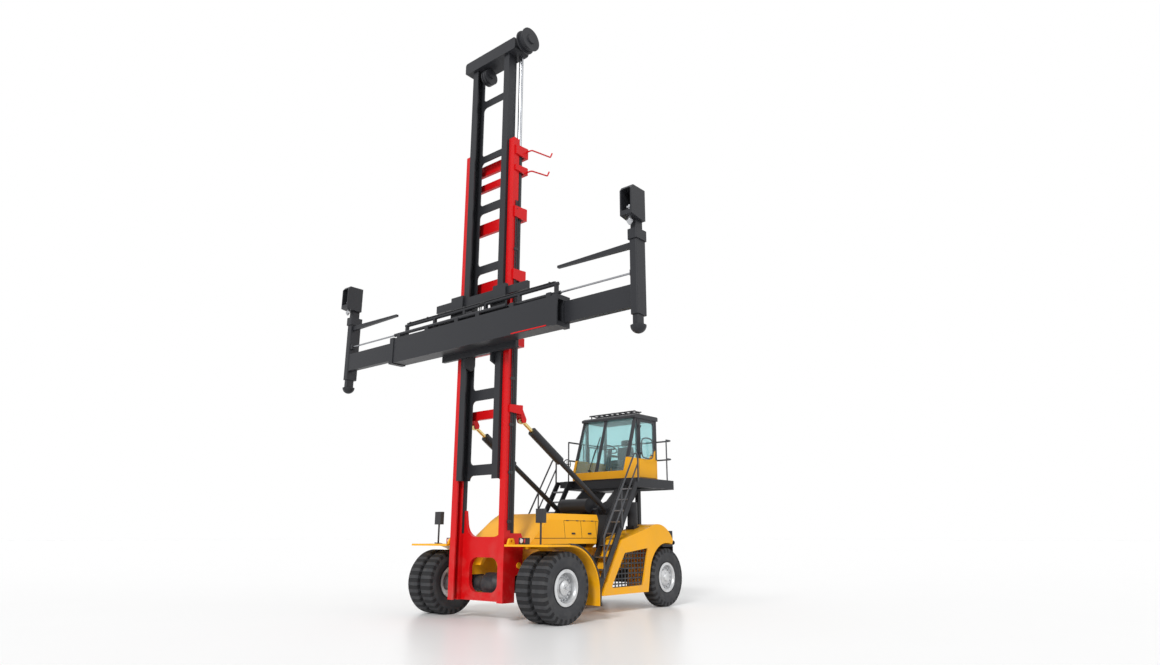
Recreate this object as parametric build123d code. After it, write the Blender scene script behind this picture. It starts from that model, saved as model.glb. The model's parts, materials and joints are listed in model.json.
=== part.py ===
from build123d import *
import os

# Empty container handler: a mast truck with a side-lift telescopic spreader.
# Lengths in millimetres, Z up, the machine drives towards -Y, +X is its left side.
# While it is modelled, y = 0 is the front axle; save() moves it to the part's own origin.

# Running gear
TYRE_D = 1370
TYRE_W = 372
RIM_SEAT_D = 640
RIM_FLANGE_D = 700
WIDTH_OVER_FRONT = 4150
WIDTH_OVER_REAR = 2720
DUAL_GAP = 60
WHEELBASE = 4630
REAR_OVERHANG = 1120
FRONT_SPINDLE_D = 180
REAR_SPINDLE_D = 140
KINGPIN_D = 90
KINGPIN_X = 950

# Frame and bodywork
FRAME_HALF = 620
FRAME_WALL = 150
FRAME_BOTTOM = 870
FRAME_TOP = 1400
FRAME_FRONT = -210
FRAME_REAR = 3700
NECK_HALF = 400
HOOD_HALF = 950
HOOD_FRONT = 70
HOOD_KNEE = 880
HOOD_REAR = 2500
HOOD_TOP = 2150
SHEET = 30
FENDER_INNER = 890
FENDER_TOP = 1500
FENDER_FRONT = -600
FENDER_WALL = 40
FENDER_R = 950
FENDER_CENTRE_Y = 60
FENDER_TAIL = 290
BODY_HALF = 1350
BODY_INNER = 720
BODY_WALL = 40
BODY_BOTTOM = 390
WEIGHT_HALF = 1000
WEIGHT_TOP = 1800
WEIGHT_BOTTOM = 480
TOW_PIN_D = 50
TOW_Z = 900

# Mast
MAST_HALF = 830
MAST_FRONT = -555
MAST_BOTTOM = 365
MAST_TOP = 10760
MAST_DEPTH = 175
MAST_FLANGE = 170
MAST_WALL = 36
LEG_DEPTH = 335
LEG_TOP = 1720
PIVOT_Y = -120
PIVOT_Z = 1080
PIVOT_PIN_D = 120
BAR_REAR_Y = -120
BAR_DEPTH = 80
INNER_BOTTOM = 2830
INNER_TOP = 13100
INNER_FRONT = -620
INNER_DEPTH = 260
INNER_FLANGE = 175
INNER_WALL = 34
TOP_BEAM_HALF = 890
TOP_BEAM_H = 320
BARREL_D = 150
BARREL_TOP = 10500
LIFT_ROD_D = 110
LIFT_ROD_FOOT = 4300
LIFT_X = 735
LIFT_Y = -290
SHEAVE_D = 400

# Tilt cylinders
TILT_X = 750
TILT_TOP_Y = -20
TILT_TOP_Z = 4090
TILT_FOOT_Y = 2970
TILT_FOOT_Z = 2245
TILT_PIN_D = 80
TILT_ROD_D = 80
TILT_BARREL_D = 200
TILT_TUBE_D = 120

# Spreader
BEAM_HALF = 2720
BEAM_BOTTOM = 5690
BEAM_TOP = 6300
BEAM_REAR = -722
BEAM_DEPTH = 380
BEAM_WALL = 16
EXT_BOTTOM = 5765
EXT_TOP = 6205
EXT_DEPTH = 150
EXT_WALL = 14
COLUMN_X = 4575
COLUMN_W = 165
COLUMN_DEPTH = 300
COLUMN_BOTTOM = 5545
COLUMN_TOP = 7000
HEAD_BOTTOM = 7380
HEAD_TOP = 8010
HEAD_W = 270
HEAD_REACH = 200
ARM_Z = 6910
TELE_ROD_Z = 6400
TELE_ROD_D = 40
TELE_ROD_FOOT = 700
TELE_TAIL = 1200
FRONT_ROD = 70
REAR_ROD = 170
TWIST_PIN_D = 60
CARRIAGE_HALF = 1500

# Cab and access
CAB_HALF = 870
CAB_NOSE = 3590
CAB_BROW = 4040
CAB_REAR = 5000
CAB_FLOOR = 3070
CAB_NOSE_SILL = 3260
CAB_SILL = 3600
CAB_EAVES = 4640
CAB_ROOF_H = 110
CAB_WALL = 50
PILLAR = 70
GLASS = 10
DOOR_FRONT = 4190
DOOR_REAR = 4930
HINGE_PIN_D = 16
HINGE_HEIGHTS = (3700, 4400)
PLATFORM_HALF = 1200
PLATFORM_FRONT = 3640
PLATFORM_REAR = 5300
PLATFORM_H = 230
STAIR_INNER = 880
STAIR_OUTER = 1320
STAIR_FOOT_Y = 1880
STAIR_FOOT_Z = 420
STAIR_STEPS = 9
RAIL_D = 42
POST_D = 36

# Clearances
FIT = 0.3
RUN = 15

# Worked out from the sizes above
TYRE_R = TYRE_D / 2
OUTER_X = WIDTH_OVER_FRONT / 2 - TYRE_W / 2
INNER_X = OUTER_X - TYRE_W - DUAL_GAP
REAR_X = WIDTH_OVER_REAR / 2 - TYRE_W / 2
SPINDLE_ROOT = INNER_X - TYRE_W / 2 - 70
WEIGHT_REAR = WHEELBASE + REAR_OVERHANG
NECK_REAR = WEIGHT_REAR - 300
BEAM_FRONT = BEAM_REAR - BEAM_DEPTH
HEAD_FRONT = BEAM_FRONT - HEAD_REACH
ORIGIN_Y = (HEAD_FRONT + WEIGHT_REAR) / 2
MAST_REAR = MAST_FRONT + MAST_DEPTH
LEG_REAR = MAST_FRONT + LEG_DEPTH
INNER_REAR = INNER_FRONT + INNER_DEPTH
INNER_HALF = MAST_HALF - MAST_FLANGE - RUN
FRONT_BAY = BEAM_FRONT + BEAM_WALL
REAR_BAY = BEAM_REAR - BEAM_WALL - EXT_DEPTH
SCREEN_LEAN = (CAB_BROW - CAB_NOSE) / (CAB_EAVES - CAB_NOSE_SILL)
HINGE_X = CAB_HALF + 20
HINGE_Y = DOOR_FRONT - 20
STAIR_SLOPE = 1.6
TILT_AXIS = Vector(0, TILT_TOP_Y - TILT_FOOT_Y, TILT_TOP_Z - TILT_FOOT_Z)
TILT_LENGTH = TILT_AXIS.length
TILT_DIR = TILT_AXIS.normalized()


def outline(*points):
    """Flat face with corners (a, b), or (a, b, radius) where a corner is rounded."""
    face = make_face(Polyline(*[p[:2] for p in points], close=True))
    for p in points:
        if len(p) == 3:
            corner = face.vertices().sort_by_distance((p[0], p[1], 0))[0]
            face = fillet(corner, p[2])
    return face


def window(a0, a1, b0, b1, radius):
    """Rounded rectangle between two corners."""
    return outline((a0, b0, radius), (a1, b0, radius), (a1, b1, radius), (a0, b1, radius))


def along_x(face, x0, x1):
    """Side profile (y, z) carried from x0 to x1."""
    return extrude(Plane((x0, 0, 0), x_dir=(0, 1, 0), z_dir=(1, 0, 0)) * face, x1 - x0, dir=(1, 0, 0))


def along_y(face, y0, y1):
    """Front profile (x, z) carried from y0 to y1."""
    return extrude(Plane((0, y0, 0), x_dir=(1, 0, 0), z_dir=(0, -1, 0)) * face, y1 - y0, dir=(0, 1, 0))


def along_z(face, z0, z1):
    """Plan profile (x, y) carried from z0 to z1."""
    return extrude(Plane((0, 0, z0)) * face, z1 - z0, dir=(0, 0, 1))


def block(x0, x1, y0, y1, z0, z1):
    return along_z(outline((x0, y0), (x1, y0), (x1, y1), (x0, y1)), z0, z1)


def rod(start, end, diameter):
    axis = Vector(*end) - Vector(*start)
    return extrude(Plane(origin=start, z_dir=axis) * Circle(diameter / 2), axis.length)


def pipe(points, diameter, bend):
    """Bent tube of one diameter along a polyline with rounded corners."""
    path = FilletPolyline(*points, radius=bend)
    return sweep(Plane(origin=path @ 0, z_dir=path % 0) * Circle(diameter / 2), path=path)


def turned(profile):
    """Solid of revolution about the X axis from (x, radius) points."""
    return revolve(outline(*profile), Axis.X)


def mirrored(shape):
    return mirror(shape, about=Plane.YZ)


def pair(shape):
    return Compound(children=[*shape.solids(), *mirrored(shape).solids()])


def joined(first, *others):
    return first + list(others)


def save(node, shape):
    shape = Pos(0, -ORIGIN_Y, 0) * shape
    export_step(Compound(children=shape.solids()) if len(shape.solids()) > 1 else shape.solids()[0],
                f"parts/{node}.step")


# Wheels

def tyre(x):
    half = TYRE_W / 2
    bead = RIM_SEAT_D / 2
    lip = RIM_FLANGE_D / 2 + 6
    shape = turned([(60 - half, bead), (half - 60, bead), (half - 60, lip), (half - 20, lip + 50, 30),
                    (half, TYRE_R - 170, 60), (half - 25, TYRE_R - 20), (half - 55, TYRE_R), (55 - half, TYRE_R),
                    (25 - half, TYRE_R - 20), (-half, TYRE_R - 170, 60), (20 - half, lip + 50, 30), (60 - half, lip)])
    return Pos(x, 0, TYRE_R) * shape


def rim(x, bore, dish):
    """Dished disc wheel: flanged barrel, a disc set back by dish and a hub with its bore."""
    half = TYRE_W / 2
    seat = RIM_SEAT_D / 2 - FIT
    flange = RIM_FLANGE_D / 2
    web = half - dish
    profile = [(60 - half, seat), (half - 60, seat), (half - 60 + FIT, flange - 20), (half - 45, flange),
               (half - 35, flange), (half - 30, seat - 30), (half - 70, seat - 45), (web + 30, seat - 50, 25),
               (web + 30, 210), (web + 60, 190), (web + 90, 150), (web + 90, bore), (web - 90, bore),
               (web - 90, 170), (web, 190), (web, seat - 30), (35 - half, seat - 30), (35 - half, flange),
               (45 - half, flange), (60 - half - FIT, flange - 20)]
    return Pos(x, 0, TYRE_R) * turned(profile)


def front_tyres():
    return Compound(children=[tyre(INNER_X).solid(), tyre(OUTER_X).solid()])


def front_rims():
    """Both discs of the twin wheel on one hub drum with a domed planetary cap."""
    bore = FRONT_SPINDLE_D / 2 + FIT
    outer = rim(OUTER_X, bore, 200)
    inner = rim(INNER_X, bore, 200)
    spacer = Pos(0, 0, TYRE_R) * turned([(INNER_X - 80, bore), (OUTER_X - 80, bore), (OUTER_X - 80, 170),
                                         (INNER_X - 80, 170)])
    cap = Pos(OUTER_X + 60, 0, TYRE_R) * turned([(0, 0), (0, 150), (50, 140, 20), (80, 90, 20), (80, 0)])
    return joined(outer, inner, spacer, cap)


def rear_wheel_tyre():
    return Pos(0, WHEELBASE, 0) * tyre(REAR_X)


def rear_wheel_rim():
    bore = REAR_SPINDLE_D / 2 + FIT
    cap = Pos(REAR_X + 120, 0, TYRE_R) * turned([(0, 0), (0, 110), (40, 100, 15), (40, 0)])
    return Pos(0, WHEELBASE, 0) * joined(rim(REAR_X, bore, 150), cap)


# Axles

def front_axle():
    """Drive axle: differential bulge, tapered arms, spindles, saddles under the frame and pinion nose."""
    half = [(0, 235), (150, 235, 60), (300, 160, 80), (SPINDLE_ROOT, 150), (SPINDLE_ROOT, FRONT_SPINDLE_D / 2),
            (OUTER_X - 20, FRONT_SPINDLE_D / 2), (OUTER_X - 20, 0), (0, 0)]
    beam = turned(half)
    beam = Pos(0, 0, TYRE_R) * (beam + mirrored(beam))
    saddle = block(FRAME_HALF - FRAME_WALL, FRAME_HALF, -140, 140, TYRE_R, FRAME_BOTTOM)
    nose = rod((0, 0, TYRE_R), (0, 430, TYRE_R), 240)
    return joined(beam, saddle, mirrored(saddle), nose)


def steer_axle():
    """Steer axle: deep centre box that tapers to a yoke round each kingpin."""
    front = outline((0, TYRE_R - 150), (0, TYRE_R + 150), (420, TYRE_R + 150, 60), (KINGPIN_X - 130, TYRE_R + 110),
                    (KINGPIN_X - 130, TYRE_R - 110), (420, TYRE_R - 150, 60))
    beam = along_y(front, WHEELBASE - 150, WHEELBASE + 150)
    yoke = along_z(outline((KINGPIN_X - 200, WHEELBASE - 90), (KINGPIN_X, WHEELBASE - 75),
                           (KINGPIN_X + 75, WHEELBASE, 60), (KINGPIN_X, WHEELBASE + 75),
                           (KINGPIN_X - 200, WHEELBASE + 90)), TYRE_R - 150, TYRE_R + 150)
    gap = block(KINGPIN_X - 130, KINGPIN_X + 200, WHEELBASE - 200, WHEELBASE + 200, TYRE_R - 100, TYRE_R + 100)
    bore = rod((KINGPIN_X, WHEELBASE, TYRE_R - 200), (KINGPIN_X, WHEELBASE, TYRE_R + 200), KINGPIN_D + 2 * FIT)
    half = beam + (yoke - gap) - bore
    saddle = block(-260, 260, WHEELBASE - 140, WHEELBASE + 140, TYRE_R + 140, FRAME_BOTTOM)
    return joined(half, mirrored(half), saddle)


def knuckle():
    """Steering knuckle with its kingpin and the wheel spindle."""
    block_face = outline((KINGPIN_X - 70, WHEELBASE - 70, 40), (KINGPIN_X + 70, WHEELBASE - 70),
                         (KINGPIN_X + 70, WHEELBASE + 70), (KINGPIN_X - 70, WHEELBASE + 70, 40))
    body = along_z(block_face, TYRE_R - 100 + FIT, TYRE_R + 100 - FIT)
    pin = rod((KINGPIN_X, WHEELBASE, TYRE_R - 150), (KINGPIN_X, WHEELBASE, TYRE_R + 150), KINGPIN_D)
    spindle = rod((KINGPIN_X, WHEELBASE, TYRE_R), (REAR_X + 100, WHEELBASE, TYRE_R), REAR_SPINDLE_D)
    return joined(body, pin, spindle)


# Frame and bodywork

def main_frame():
    """Two box beams, cross members, rear neck and the trunnions that carry the mast."""
    side = outline((FRAME_FRONT, FRAME_BOTTOM), (FRAME_REAR, FRAME_BOTTOM, 60), (FRAME_REAR, FRAME_TOP),
                   (FRAME_FRONT, FRAME_TOP, 120))
    beam = along_x(side, FRAME_HALF - FRAME_WALL, FRAME_HALF)
    inner = FRAME_HALF - FRAME_WALL
    cross = [block(-inner, inner, y, y + 120, FRAME_BOTTOM, FRAME_BOTTOM + 150) for y in (760, 1900)]
    nose = along_y(outline((-inner, FRAME_TOP - 330), (inner, FRAME_TOP - 330), (inner, FRAME_TOP - 40),
                           (-inner, FRAME_TOP - 40)) - Pos(0, FRAME_TOP - 400) * Circle(260),
                   FRAME_FRONT + 40, FRAME_FRONT + 120)
    neck = along_z(outline((-FRAME_HALF, FRAME_REAR - 200), (FRAME_HALF, FRAME_REAR - 200), (FRAME_HALF, FRAME_REAR),
                           (NECK_HALF, FRAME_REAR + 150), (NECK_HALF, NECK_REAR),
                           (-NECK_HALF, NECK_REAR), (-NECK_HALF, FRAME_REAR + 150), (-FRAME_HALF, FRAME_REAR)),
                   FRAME_BOTTOM, FRAME_TOP)
    boss = rod((FRAME_HALF - 10, PIVOT_Y, PIVOT_Z), (MAST_HALF - MAST_FLANGE - RUN / 3, PIVOT_Y, PIVOT_Z),
               PIVOT_PIN_D + 80)
    pin = rod((FRAME_HALF - 10, PIVOT_Y, PIVOT_Z), (MAST_HALF + 20, PIVOT_Y, PIVOT_Z), PIVOT_PIN_D)
    right = joined(beam, boss, pin)
    return joined(right, mirrored(right), nose, neck, *cross)


def engine_block():
    inner = FRAME_HALF - FRAME_WALL - 60
    profile = outline((700, FRAME_BOTTOM + 150), (2080, FRAME_BOTTOM + 150), (2080, HOOD_TOP - 150, 80),
                      (1000, HOOD_TOP - 150, 80), (700, FRAME_TOP + 300))
    return along_x(profile, -inner, inner)


def hood():
    """Engine cover: sheet shell with a sloping nose and drawn-in sides."""
    def shell(inset, drop):
        base = FENDER_TOP - drop
        side = outline((HOOD_FRONT + inset * 2, base), (HOOD_KNEE + inset / 2, HOOD_TOP - inset, 90),
                       (HOOD_REAR - inset, HOOD_TOP - inset), (HOOD_REAR - 200 - inset, base))
        front = outline((-HOOD_HALF + inset, base), (HOOD_HALF - inset, base),
                        (HOOD_HALF - 60 - inset, HOOD_TOP - 140), (HOOD_HALF - 200 - inset, HOOD_TOP + 100),
                        (-HOOD_HALF + 200 + inset, HOOD_TOP + 100), (-HOOD_HALF + 60 + inset, HOOD_TOP - 140))
        return along_x(side, -HOOD_HALF, HOOD_HALF) & along_y(front, HOOD_FRONT, HOOD_REAR)
    return shell(0, 0) - shell(SHEET, 50)


def front_fender():
    """Rolled fender over the twin front tyre, with the plate that ties it to the frame and a tie-down eye."""
    def edge(inset):
        radius = FENDER_R - inset
        rear = FENDER_CENTRE_Y + radius
        low = FENDER_TOP - FENDER_R
        return [(FENDER_FRONT, FENDER_TOP - inset), (FENDER_CENTRE_Y, FENDER_TOP - inset),
                (FENDER_CENTRE_Y + radius * 0.5 ** 0.5, low + radius * 0.5 ** 0.5), (rear, low), (rear, FENDER_TAIL)]
    outer = edge(0)
    inner = edge(FENDER_WALL)
    skin = make_face([Line(outer[0], outer[1]), ThreePointArc(*outer[1:4]), Line(outer[3], outer[4]),
                      Line(outer[4], inner[4]), Line(inner[4], inner[3]), ThreePointArc(*inner[3:0:-1]),
                      Line(inner[1], inner[0]), Line(inner[0], outer[0])])
    skin = along_x(skin, FENDER_INNER, WIDTH_OVER_FRONT / 2 + 10)
    tie = block(FRAME_HALF - 100, FENDER_INNER + 40, HOOD_FRONT + 60, HOOD_FRONT + 460, FRAME_TOP, FENDER_TOP)
    tie -= block(FRAME_HALF - 101, FENDER_INNER, HOOD_FRONT + 59, HOOD_FRONT + 461, FRAME_TOP + 40, FENDER_TOP + 1)
    eye = along_x(outline((FENDER_FRONT + 60, FENDER_TOP), (FENDER_FRONT + 260, FENDER_TOP),
                          (FENDER_FRONT + 220, FENDER_TOP + 120, 45), (FENDER_FRONT + 100, FENDER_TOP + 120, 45)),
                  FENDER_INNER, FENDER_INNER + 50)
    hole = rod((FENDER_INNER - 10, FENDER_FRONT + 160, FENDER_TOP + 60),
               (FENDER_INNER + 60, FENDER_FRONT + 160, FENDER_TOP + 60), 60)
    return joined(skin, tie, eye) - hole


def body_outline():
    """Side view of the rear body: raked front, rising deck and the arch over the steer wheel."""
    return make_face([Line((2020, BODY_BOTTOM), (2750, 1580)), Line((2750, 1580), (3900, 1880)),
                      ThreePointArc((3900, 1880), (4560, 1880), (4910, 1560)), Line((4910, 1560), (4860, 1470)),
                      ThreePointArc((4860, 1470), (4320, 1440), (3880, 900)), Line((3880, 900), (3780, BODY_BOTTOM)),
                      Line((3780, BODY_BOTTOM), (2020, BODY_BOTTOM))])


def grille_outline(grow):
    return outline((2330 - grow, 540 - grow, 40), (3560 + grow * 0.8, 550 - grow, 40),
                   (3800 + grow, 1390 + grow, 40), (2860 - grow * 0.5, 1290 + grow, 40))


def side_body():
    """Rear body shell of one side, open towards the frame, with the grille window cut in its skin."""
    face = body_outline()
    shell = along_x(face, BODY_INNER, BODY_HALF)
    shell -= along_x(offset(face, amount=-BODY_WALL), BODY_INNER - 1, BODY_HALF - BODY_WALL)
    shell -= along_x(grille_outline(0), BODY_HALF - BODY_WALL - 1, BODY_HALF + 1)
    foot = block(FRAME_HALF, BODY_INNER + 60, 3000, 3500, FRAME_BOTTOM + 60, FRAME_BOTTOM + 160)
    web = along_x(outline((2950, 1612), (3550, 1768), (3500, FRAME_BOTTOM + 60), (3000, FRAME_BOTTOM + 60)),
                  BODY_INNER, BODY_INNER + 30)
    return joined(shell, foot, web)


def side_grille():
    """Mesh panel behind the window: a rim with upright and level bars."""
    x0 = BODY_HALF - BODY_WALL - 14
    x1 = BODY_HALF - BODY_WALL - FIT
    sheet = along_x(grille_outline(30), x0, x1)
    holes = [Pos(2350 + 125 * i, 560 + 110 * j) * Rectangle(95, 80) for i in range(13) for j in range(9)]
    inside = offset(grille_outline(0), amount=-15)
    return sheet - along_x(Sketch() + [hole & inside for hole in holes], x0 - 1, x1 + 1)


def counterweight():
    """Cast counterweight: deck over the steer axle, rounded tail and a tow jaw."""
    tail_front = WHEELBASE + 840
    waist = BODY_INNER - 20
    step = WHEELBASE + 300
    plan = outline((-waist, WHEELBASE - 100), (waist, WHEELBASE - 100), (waist, step), (WEIGHT_HALF, step, 60),
                   (WEIGHT_HALF, WEIGHT_REAR - 300, 150), (WEIGHT_HALF - 300, WEIGHT_REAR, 150),
                   (300 - WEIGHT_HALF, WEIGHT_REAR, 150), (-WEIGHT_HALF, WEIGHT_REAR - 300, 150),
                   (-WEIGHT_HALF, step, 60), (-waist, step))
    side = outline((WHEELBASE - 100, FRAME_TOP), (tail_front, FRAME_TOP), (tail_front, WEIGHT_BOTTOM),
                   (WEIGHT_REAR - 120, WEIGHT_BOTTOM, 60), (WEIGHT_REAR, WEIGHT_BOTTOM + 300, 120),
                   (WEIGHT_REAR, WEIGHT_TOP - 120, 100), (WEIGHT_REAR - 160, WEIGHT_TOP, 100),
                   (WHEELBASE - 100, WEIGHT_TOP))
    shape = along_z(plan, WEIGHT_BOTTOM, WEIGHT_TOP) & along_x(side, -WEIGHT_HALF, WEIGHT_HALF)
    shape -= block(-NECK_HALF, NECK_HALF, WHEELBASE - 200, NECK_REAR, FRAME_BOTTOM, FRAME_TOP)
    shape -= block(-150, 150, WEIGHT_REAR - 200, WEIGHT_REAR + 10, WEIGHT_BOTTOM - 1, TOW_Z + 200)
    ears = [block(-80, 80, WEIGHT_REAR - 210, WEIGHT_REAR - 20, TOW_Z + z, TOW_Z + z + 40) for z in (-100, 60)]
    shape = joined(shape, *ears)
    return shape - rod((0, WEIGHT_REAR - 90, TOW_Z - 110), (0, WEIGHT_REAR - 90, TOW_Z + 110), TOW_PIN_D)


# Mast

def upright(x_out, y_front, depth, flange, wall, z0, z1):
    """Rolled channel that opens towards the middle of the machine."""
    section = outline((x_out - flange, y_front), (x_out, y_front), (x_out, y_front + depth),
                      (x_out - flange, y_front + depth), (x_out - flange, y_front + depth - wall),
                      (x_out - wall, y_front + depth - wall), (x_out - wall, y_front + wall),
                      (x_out - flange, y_front + wall))
    return along_z(section, z0, z1)


def mast_bar(z0, z1):
    """Cross member behind the lift cylinders, with cheeks welded to the outside of the uprights."""
    half = MAST_HALF + 40
    bar = block(-half, half, BAR_REAR_Y - BAR_DEPTH, BAR_REAR_Y, z0, z1)
    cheek = along_x(outline((MAST_FRONT + 40, z0 + 20), (BAR_REAR_Y - 10, z0), (BAR_REAR_Y - 10, z1),
                            (MAST_FRONT + 40, z1 - 20)), MAST_HALF, half)
    return joined(bar, cheek, mirrored(cheek))


def outer_mast():
    """Lower mast stage: channels, deep feet with pivot ears, arched foot plate and cross members."""
    rail = upright(MAST_HALF, MAST_FRONT, MAST_DEPTH, MAST_FLANGE, MAST_WALL, MAST_BOTTOM, MAST_TOP)
    ear = along_x(outline((MAST_REAR - 1, MAST_BOTTOM), (LEG_REAR, MAST_BOTTOM), (LEG_REAR, PIVOT_Z - 190, 60),
                          (0, PIVOT_Z - 150, 60), (0, LEG_TOP - 120, 40), (-60, LEG_TOP), (MAST_REAR - 1, LEG_TOP)),
                  MAST_HALF - MAST_FLANGE, MAST_HALF)
    bore = rod((MAST_HALF - MAST_FLANGE - 1, PIVOT_Y, PIVOT_Z), (MAST_HALF + 1, PIVOT_Y, PIVOT_Z),
               PIVOT_PIN_D + 2 * FIT)
    leg = joined(rail, ear) - bore
    lug = along_x(outline((BAR_REAR_Y - 20, 4390), (BAR_REAR_Y, 4390), (TILT_TOP_Y + 60, TILT_TOP_Z + 30, 50),
                          (TILT_TOP_Y + 50, TILT_TOP_Z - 60, 50), (TILT_TOP_Y - 60, TILT_TOP_Z - 50, 50),
                          (BAR_REAR_Y - 20, 4200)), TILT_X + 50, TILT_X + 80)
    inner_lug = Pos(-130, 0, 0) * lug
    pin = rod((TILT_X - 80, TILT_TOP_Y, TILT_TOP_Z), (TILT_X + 80, TILT_TOP_Y, TILT_TOP_Z), TILT_PIN_D - 10)
    half = MAST_HALF - MAST_FLANGE + 10
    wing = LIFT_X - BARREL_D / 2 - RUN
    foot = outline((-half, MAST_BOTTOM), (half, MAST_BOTTOM), (half, LEG_TOP), (wing, LEG_TOP), (wing, LEG_TOP + 480),
                   (wing - 15, LEG_TOP + 480), (wing - 100, LEG_TOP - 70, 320), (100 - wing, LEG_TOP - 70, 320),
                   (15 - wing, LEG_TOP + 480), (-wing, LEG_TOP + 480), (-wing, LEG_TOP), (-half, LEG_TOP))
    foot -= window(-430, 430, MAST_BOTTOM + 165, 1230, 210)
    plate = along_y(foot, MAST_REAR + RUN + 40, LEG_REAR - 20)
    bars = [mast_bar(z0, z1) for z0, z1 in ((4200, 4400), (5700, 5900), (7200, 7480), (8720, 9020), (9900, 10080),
                                            (10320, 10590))]
    right = joined(leg, lug, inner_lug, pin)
    return joined(right, mirrored(right), plate, *bars)


def lift_barrels():
    """Lift cylinder barrels with their glands, standing on the mast's pivot ears."""
    barrel = rod((LIFT_X, LIFT_Y, LEG_TOP), (LIFT_X, LIFT_Y, BARREL_TOP), BARREL_D)
    gland = rod((LIFT_X, LIFT_Y, BARREL_TOP - 220), (LIFT_X, LIFT_Y, BARREL_TOP), BARREL_D + 16)
    bore = rod((LIFT_X, LIFT_Y, LEG_TOP + 120), (LIFT_X, LIFT_Y, BARREL_TOP + 1), LIFT_ROD_D + 2 * FIT)
    return pair(joined(barrel, gland) - bore)


def lift_rods():
    return pair(rod((LIFT_X, LIFT_Y, LIFT_ROD_FOOT), (LIFT_X, LIFT_Y, INNER_TOP), LIFT_ROD_D))


def hose_arms():
    """Bent rods on the left of the mast head that guide the hoses."""
    x = MAST_HALF + 40
    arms = []
    for z, reach in ((10500, 620), (9960, 520)):
        arms.append(pipe([(x, BAR_REAR_Y - 40, z), (x + 150, BAR_REAR_Y - 40, z),
                          (x + 150, BAR_REAR_Y + reach, z + 90), (x + 150, BAR_REAR_Y + reach + 60, z + 220)], 36, 50))
    return Compound(children=[arm.solid() for arm in arms])


def roller(x0, x1, y, z, diameter):
    return rod((x0, y, z), (x1, y, z), diameter)


def inner_bar(z0, z1):
    """Cross member of the upper mast stage with flared ends."""
    half = INNER_HALF - INNER_WALL + 4
    flare = 110
    face = outline((-half, z0 - flare), (half, z0 - flare), (half, z1 + flare), (-half, z1 + flare))
    for low, high in ((z0 - flare - 300, z0), (z1, z1 + flare + 300)):
        face -= window(-INNER_HALF + INNER_FLANGE, INNER_HALF - INNER_FLANGE, low, high, flare)
    return along_y(face, INNER_REAR - INNER_WALL, INNER_REAR)


def inner_mast():
    """Upper mast stage: channels nested in the lower ones, cross members, top beam and guide rollers."""
    rail = upright(INNER_HALF, INNER_FRONT, INNER_DEPTH, INNER_FLANGE, INNER_WALL, INNER_BOTTOM, INNER_TOP)
    groove = MAST_DEPTH - 2 * MAST_WALL - 2 * FIT
    groove_y = MAST_FRONT + MAST_DEPTH / 2
    rollers = [roller(INNER_HALF - 10, MAST_HALF - MAST_WALL - RUN, groove_y, INNER_BOTTOM + z, groove)
               for z in (150, 1250)]
    right = joined(rail, *rollers)
    bars = [inner_bar(z0, z1) for z0, z1 in ((4600, 4840), (6100, 6320), (7630, 7830), (9180, 9390), (10560, 10730),
                                             (12100, 12280))]
    foot = inner_bar(INNER_BOTTOM + 110, INNER_BOTTOM + 340)
    beam = along_y(window(-TOP_BEAM_HALF, TOP_BEAM_HALF, INNER_TOP, INNER_TOP + TOP_BEAM_H, 60),
                   INNER_FRONT - 60, LIFT_Y + 90)
    return joined(right, mirrored(right), foot, beam, *bars)


def hose_drum():
    """Hose reel at the left end of the top beam, and the double sheave under the beam."""
    y = INNER_FRONT + 120
    z = INNER_TOP + TOP_BEAM_H / 2
    reel = turned([(0, 0), (0, 60), (150, 60), (150, 290), (180, 290, 8), (195, 230), (320, 230), (335, 290, 8),
                   (365, 290), (365, 120), (400, 110), (400, 0)])
    r = SHEAVE_D / 2
    sheave = turned([(-90, 60), (-90, r), (-60, r), (-45, r - 30), (-30, r), (30, r), (45, r - 30), (60, r), (90, r),
                     (90, 60)])
    sheave_y = INNER_FRONT + 190
    sheave_z = INNER_TOP - r - 15
    hanger = block(-30, 30, sheave_y - 60, sheave_y + 60, sheave_z - 60, INNER_TOP)
    axle = rod((-130, sheave_y, sheave_z), (130, sheave_y, sheave_z), 120)
    sheave = Pos(-260, 0, 0) * joined(Pos(0, sheave_y, sheave_z) * sheave, hanger, axle)
    return Compound(children=[(Pos(TOP_BEAM_HALF, y, z) * reel).solid(), sheave.solid()])


# Tilt cylinders

def tilt_point(distance):
    """Point on the tilt cylinder's axis, measured from its foot pin."""
    point = Vector(TILT_X, TILT_FOOT_Y, TILT_FOOT_Z) + TILT_DIR * distance
    return (point.X, point.Y, point.Z)


def tilt_barrel():
    """Tilt cylinder: long foot tube with its eye, then the thick barrel."""
    eye = rod((TILT_X - 45, TILT_FOOT_Y, TILT_FOOT_Z), (TILT_X + 45, TILT_FOOT_Y, TILT_FOOT_Z), TILT_PIN_D + 90)
    eye_bore = rod((TILT_X - 46, TILT_FOOT_Y, TILT_FOOT_Z), (TILT_X + 46, TILT_FOOT_Y, TILT_FOOT_Z),
                   TILT_PIN_D + 2 * FIT)
    tube = rod(tilt_point(70), tilt_point(TILT_LENGTH - 1450), TILT_TUBE_D)
    barrel = rod(tilt_point(TILT_LENGTH - 1480), tilt_point(TILT_LENGTH - 380), TILT_BARREL_D)
    bore = rod(tilt_point(TILT_LENGTH - 1300), tilt_point(TILT_LENGTH - 370), TILT_ROD_D + 2 * FIT)
    return joined(eye, tube, barrel) - eye_bore - bore


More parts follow.
